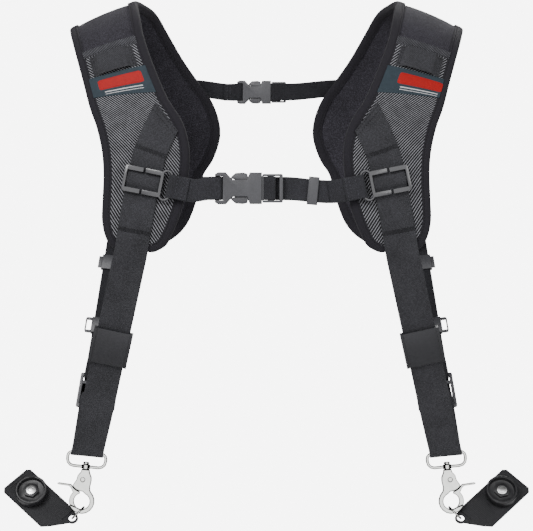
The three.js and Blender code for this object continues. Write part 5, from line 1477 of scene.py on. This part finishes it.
    def male_thread(self, tape: BuckledTape) -> tuple[float, list[tuple[float, float]]]:
        """The way through the male half's ladder: the run's height and the points."""
        width, wall = tape.width, tape.wall
        near = (self.male_near - self.male_slack) * width - GAP - wall / 2
        far = (self.male_near + self.male_bar) * width + GAP + wall / 2
        over = self.middle_wall / 2 + GAP + wall / 2
        tail = -(self.male_wall * width / 2 + GAP + wall / 2) - 0.1
        main_height = tail - wall - GAP
        return main_height, [
            (near + 3 * wall, main_height),
            (near + 0.9 * wall, main_height + 0.3),
            (near, main_height + 1.4),
            (near, 0),
            (near + 0.3, over * 0.8),
            (near + 1.2, over),
            (far - 1.2, over),
            (far - 0.3, over * 0.8),
            (far, 0),
            (far + 0.2, tail * 0.5),
            (far + 0.9, tail * 0.9),
            (far + 2.2, tail),
        ]

    def left(self, tape: BuckledTape, lay: Callable[[float, float], list[Place]]) -> list[Place]:
        """A left strap, sewn round the female half's bar.

        Args:
            tape: The strap's webbing.
            lay: Gives the run to the buckle from where it ends and its height there.

        Returns:
            The strap's places.
        """
        thread = self.female_thread(tape)
        height = self.bar_wall / 2 + GAP + tape.wall / 2
        run = lay(-(tape.mouth[0] + thread[0][0]) + self.buckle_lead, height)
        return [*mirrored(run), *(tape.point(*spot) for spot in thread)]

    def right(
        self, tape: BuckledTape, lay: Callable[[float, float], list[Place]]
    ) -> tuple[list[Place], list[Place]]:
        """A right strap through the male half, without its tail.

        Args:
            tape: The strap's webbing.
            lay: Gives the run to the buckle from where it ends and its height there.

        Returns:
            The run, and the places through the buckle.
        """
        height, thread = self.male_thread(tape)
        run = lay(tape.mouth[0] + self.male_frame * tape.width + 1, height)
        return run, [tape.point(*spot) for spot in thread]

    def chest_right(self) -> list[Place]:
        """The right chest strap, with its tail back in front of it."""
        tape = self.chest_tape
        run, thread = self.right(tape, self.chest_run)
        back = run[-9:][::-1]
        tail = []
        for here, further in zip(back[:7], back[1:8]):
            out = unit(np.cross(here.across, unit(further.point - here.point)))
            tail.append(Place(here.point - out * np.sign(out[1]) * (tape.wall + GAP), here.across))
        return [*run, *thread, *tail]

    def back_run(self, buckle_end: float, height: float) -> list[Place]:
        """A back strap on the +X side, from under the binding to a buckle."""
        tape, seat_places = self.back_tape, []
        for share in steps(0, 1, 4):
            out = mix(self.back_seat_out, self.back_seat_edge, share)
            point, _, _, normal = PAD.frame(*PAD.place_at(out, -self.back_height + self.back_rise, False))
            lift = mix(GAP, self.skin + GAP, float(ease(share * 1.6))) + tape.wall / 2
            seat_places.append(Place(point + normal * lift, unit(np.cross(normal, vec(-1, 0, 0)))))
        start = seat_places[-1].point
        leaving = unit(start - seat_places[-2].point)
        end = vec(buckle_end, tape.mouth[1] + tape.out * height, tape.mouth[2])
        reach = float(np.linalg.norm(end - start)) / 3
        path = bezier(start, start + leaving * reach, end + vec(reach, 0, 0), end)
        across = seat_places[-1].across
        run = [Place(path(s), unit(mix(across, vec(0, 0, 1), float(ease(s))))) for s in steps(0.12, 1, 7)]
        return [*seat_places, *run]

    def back_right(self) -> list[Place]:
        """The right back strap, with its tail laid back on it."""
        run, thread = self.right(self.back_tape, self.back_run)
        lift = vec(0, self.back_tape.wall + 2 * GAP, 0)
        tail = [Place(place.point + lift, place.across) for place in run[-3:][::-1]]
        return [*run, *thread, *tail]


def mirrored(places: list[Place]) -> list[Place]:
    """The places on the other side."""
    flip = np.array([-1, 1, 1])
    return [Place(place.point * flip, place.across * flip) for place in places]


def bezier(a: np.ndarray, b: np.ndarray, c: np.ndarray, d: np.ndarray) -> Callable[[float], np.ndarray]:
    """A cubic curve from a to d, as a function of the share."""
    return lambda t: a * (1 - t) ** 3 + b * 3 * t * (1 - t) ** 2 + c * 3 * t * t * (1 - t) + d * t**3


@dataclass
class Straps:
    """Every length of webbing, with its seams."""

    finishes: Finishes
    seams: Seams
    upper_seam: float = -151
    lower_seam: float = -238
    lobe_reach: float = 220
    band: float = 4.2
    cut: float = 19
    cut_seam: float = 17

    def carry(self, paths: StrapPaths, side: Side) -> None:
        """The carry strap and the rear strap of one side."""
        word = side.word
        width, wall = paths.strap_width, paths.strap_wall
        strap = Strap(f"carry_webbing_{word}", paths.carry(), width, wall, skew=self.cut)
        self.finishes.seat(strap.build(side), "webbing", "webbing", f"carry_strap_{word}")
        rows = [strap.seam(distance, slanted=self.cut_seam) for distance in (3.5, 7)]
        on_lobe = strap.reach < self.lobe_reach
        # Each cross seam is a band of near-black rows: the real bar-tack stitching, drawn wider and darker to
        # also paint the shade in the dent it presses into the webbing.
        for height in (self.upper_seam, self.lower_seam):
            middle = strap.reach[on_lobe][np.abs(strap.points[on_lobe, 2] - height).argmin()]
            for i, shift in enumerate(steps(-self.band / 2, self.band / 2, 6)):
                rows.append(strap.seam(middle, margin=1.2 + i % 2 * self.seams.pitch / 2, shift=shift))
        rows.append(strap.seam(strap.reach[-1] - 5))
        self.seams.sew(f"carry_seams_{word}", rows, side=side)
        rear = Strap(f"rear_webbing_{word}", paths.rear(), width, wall)
        # The rear strap wears the darker webbing, which is painted shade.
        self.finishes.seat(rear.build(side), "webbing_rear", "webbing", f"rear_strap_{word}")
        rows = [rear.seam(d) for d in (4, 8, 60, 64)] + [rear.seam(rear.reach[-1] - d, face=-1) for d in (4, 8)]
        self.seams.sew(f"rear_seams_{word}", rows, side=side)

    def build(self) -> None:
        """Builds every strap."""
        paths = StrapPaths()
        for side in Side:
            self.carry(paths, side)
        chest = (paths.chest_tape, "webbing_dark", (3, 6.5, 14))
        # The back straps wear the darker webbing, which is painted shade.
        back = (paths.back_tape, "webbing_rear", (4, 8))
        spans = [
            ("chest", Side.LEFT, paths.left(paths.chest_tape, paths.chest_run), *chest),
            ("chest", Side.RIGHT, paths.chest_right(), *chest),
            ("back", Side.LEFT, paths.left(paths.back_tape, paths.back_run), *back),
            ("back", Side.RIGHT, paths.back_right(), *back),
        ]
        for word, side, places, tape, finish, starts in spans:
            strap = Strap(f"{word}_webbing_{side.word}", places, tape.width, tape.wall, step=2)
            self.finishes.seat(strap.build(), finish, "webbing", f"{word}_strap_{side.word}")
            ends = [strap.reach[-1] - d for d in (3, 6.5)] if side is Side.LEFT else []
            rows = [strap.seam(distance, face) for distance in (*starts, *ends) for face in (1, -1)]
            self.seams.sew(f"{word}_seams_{side.word}", rows, "thread")


@dataclass
class HardPart:
    """A moulded or cast part: the solid's own shape with its edges finished as its maker leaves them."""

    node: str
    finish: str
    slot: str
    body: str
    size: float
    edge: Edge = Edge.MOULDED
    rounds: int = 0
    merge: float = 0.01
    flat_angle: float = 0.6
    bevel_angle: float = 38
    sharp_angle: float = 42
    # Where the painted shade on cast metal begins and where it is full, as how far the normal points along Y.
    turned_from: float = 0.98
    turned_full: float = 0.9

    def build(self, finishes: Finishes) -> Object:
        """Copies the solid, merges it and finishes its edges.

        Args:
            finishes: The finishes.

        Returns:
            The part.
        """
        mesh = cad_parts[self.node].data.copy()
        part = linked(f"{self.node}_{self.edge.value}", mesh)
        work = bmesh.new()
        work.from_mesh(mesh)
        bmesh.ops.remove_doubles(work, verts=work.verts, dist=self.merge * MM)
        flat = math.radians(self.flat_angle)
        bmesh.ops.dissolve_limit(work, angle_limit=flat, verts=work.verts, edges=work.edges)
        work.to_mesh(mesh)
        work.free()
        if self.edge is Edge.MOULDED:
            bevel = part.modifiers.new("edges", "BEVEL")
            bevel.width = self.size * MM
            bevel.segments = 2
            bevel.limit_method = "ANGLE"
            bevel.angle_limit = math.radians(self.bevel_angle)
        else:
            remesh = part.modifiers.new("even", "REMESH")
            remesh.mode = "VOXEL"
            remesh.voxel_size = self.size * MM
            soft = part.modifiers.new("cast", "SMOOTH")
            soft.factor = 0.5
            soft.iterations = self.rounds
        baked(part)
        part.data.shade_smooth()
        if self.edge is Edge.MOULDED:
            part.data.set_sharp_from_angle(angle=math.radians(self.sharp_angle))
        else:
            # Cast metal is given painted shade where its surface turns away from front and back.
            self.mark_turned(part.data)
        return finishes.seat(part, self.finish, self.slot, self.node, body=self.body)

    def mark_turned(self, mesh: Mesh) -> None:
        """Stores painted shade: how far the surface turns away from front and back, where the casting's flat
        faces point.
        """
        normals = np.zeros(3 * len(mesh.vertices))
        mesh.vertices.foreach_get("normal", normals)
        facing = np.abs(normals.reshape(-1, 3)[:, 1])
        share = ease((facing - self.turned_full) / (self.turned_from - self.turned_full))
        turned = mesh.attributes.new(PAINTED_SHADE, "FLOAT", "POINT")
        turned.data.foreach_set("value", (1 - share).astype(np.float32))


# Node, finish, slot, body and edge size of the parts in the middle, then of those on each side.
MIDDLE_PARTS = [
    ("chest_buckle_female", "acetal", "moulded", "harness", 0.5),
    ("chest_buckle_male", "acetal", "moulded", "harness", 0.5),
    ("chest_keeper", "acetal", "moulded", "harness", 0.5),
    ("back_buckle_female", "acetal", "moulded", "harness", 0.5),
    ("back_buckle_male", "acetal", "moulded", "harness", 0.5),
]
SIDE_PARTS = [
    ("chest_slider_{}", "gloss_acetal", "slider", "harness", 0.8),
    ("rear_adjuster_{}", "acetal", "moulded", "harness", 0.5),
    ("rear_slide_{}", "acetal", "moulded", "harness", 0.5),
    ("rear_keeper_{}", "acetal", "moulded", "harness", 0.4),
    ("strap_stopper_{}", "stopper_moulding", "stopper", "stopper_{}", 0.6),
    ("swivel_loop_{}", "nickel", "nickel", "loop_{}", 0.42, Edge.CAST, 12),
    ("snap_hook_{}", "nickel", "nickel", "hook_{}", 0.4, Edge.CAST, 12),
    ("hook_trigger_{}", "nickel", "nickel", "trigger_{}", 0.36, Edge.CAST, 8),
    ("plate_ring_{}", "nickel", "nickel", "hook_{}", 0.28, Edge.CAST, 10),
    ("camera_plate_{}", "rubber_{}", "rubber", "hook_{}", 0.7),
    ("screw_disc_{}", "disc_rubber", "rubber", "screw_{}", 0.5),
    ("camera_screw_{}", "steel", "steel", "screw_{}", 0.3),
]


@dataclass
class Fittings:
    """The buckles, sliders, stoppers, hooks and camera plates."""

    finishes: Finishes

    def build(self) -> None:
        """Builds every hard part."""
        parts = [HardPart(*row) for row in MIDDLE_PARTS]
        for side in Side:
            for row in SIDE_PARTS:
                texts = (text.format(side.word) for text in row[:4])
                parts.append(HardPart(*texts, *row[4:]))
        for part in parts:
            part.build(self.finishes)


@dataclass
class Stage:
    """A pale floor, a white surround, soft lights, and the camera at the photograph's place."""

    camera_back: float = 2.0
    camera_height: float = -0.274
    view_width: float = 0.3001
    sensor: float = 36
    aim_height: float = -0.27
    floor_height: float = -0.9
    floor_reach: float = 1.1
    surround: float = 0.4
    dim: float = 0.05
    glow: float = 2.6
    backdrop: float = 7

    def build(self) -> None:
        """Builds the stage."""
        self.floor()
        self.world()
        self.light("key", (-0.75, -1.2, 0.85), size=0.8, power=27)
        self.light("fill", (1.2, -1.05, 0.35), size=0.9, power=10)
        self.light("rim", (0.4, 1.6, 1.4), size=1.0, power=40)
        camera = linked("camera", bpy.data.cameras.new("camera"))
        camera.location = (0, -self.camera_back, self.camera_height)
        camera.rotation_euler = (math.pi / 2, 0, 0)
        camera.data.sensor_width = self.sensor
        camera.data.lens = self.sensor / self.view_width
        bpy.context.scene.camera = camera

    def floor(self) -> None:
        """Lays the pale floor below the harness, out of the photograph's view."""
        reach, low = self.floor_reach, self.floor_height
        mesh = bpy.data.meshes.new("floor")
        corners = ((-reach, -reach), (reach, -reach), (reach, reach), (-reach, reach))
        mesh.from_pydata([(x, y, low) for x, y in corners], [], [(0, 1, 2, 3)])
        floor = linked("floor", mesh)
        material = bpy.data.materials.new("pale_paper")
        material.use_nodes = True
        paper = material.node_tree.nodes["Principled BSDF"]
        paper.inputs["Base Color"].default_value = linear("#f7f7f7")
        paper.inputs["Roughness"].default_value = 0.9
        mesh.materials.append(material)

    def world(self) -> None:
        """Sets the surround: even for cloth, bright in front and dim beside for what shines, white behind."""
        world = bpy.data.worlds.new("studio")
        world.use_nodes = True
        tree = world.node_tree
        tree.nodes.clear()
        rays = put(tree, "ShaderNodeLightPath").outputs
        seen = put(tree, "ShaderNodeTexCoord").outputs["Generated"]
        front = put(tree, "ShaderNodeVectorMath", {0: seen, 1: (0, -1, 0.12)}, operation="DOT_PRODUCT")
        shine = Value(tree, front.outputs["Value"]).stepped(0.55, 0.93).between(self.dim, self.glow)
        soft = Value(tree, rays["Is Glossy Ray"]).between(self.surround, shine)
        strength = Value(tree, rays["Is Camera Ray"]).between(soft, self.backdrop)
        light = put(tree, "ShaderNodeBackground", {"Color": (1, 1, 1, 1), "Strength": strength.socket})
        put(tree, "ShaderNodeOutputWorld", {"Surface": light.outputs[0]})
        bpy.context.scene.world = world

    def light(self, name: str, place: tuple[float, float, float], size: float, power: float) -> None:
        """Adds a soft square light that faces the harness."""
        data = bpy.data.lights.new(name, "AREA")
        data.size, data.energy = size, power
        lamp = linked(name, data)
        lamp.location = place
        aim = Vector((0, 0, self.aim_height)) - Vector(place)
        lamp.rotation_euler = aim.to_track_quat("-Z", "Y").to_euler()


def main() -> None:
    """Builds the harness and its stage."""
    finishes = Finishes()
    seams = Seams(finishes)
    Stage().build()
    pad = ShoulderPad(finishes, seams)
    padding = Padding().build()
    for side in Side:
        pad.build(side, padding)
    Straps(finishes, seams).build()
    Fittings(finishes).build()


if __name__ == "__main__":
    logging.basicConfig(level=logging.INFO, format="%(name)s: %(message)s")
    main()
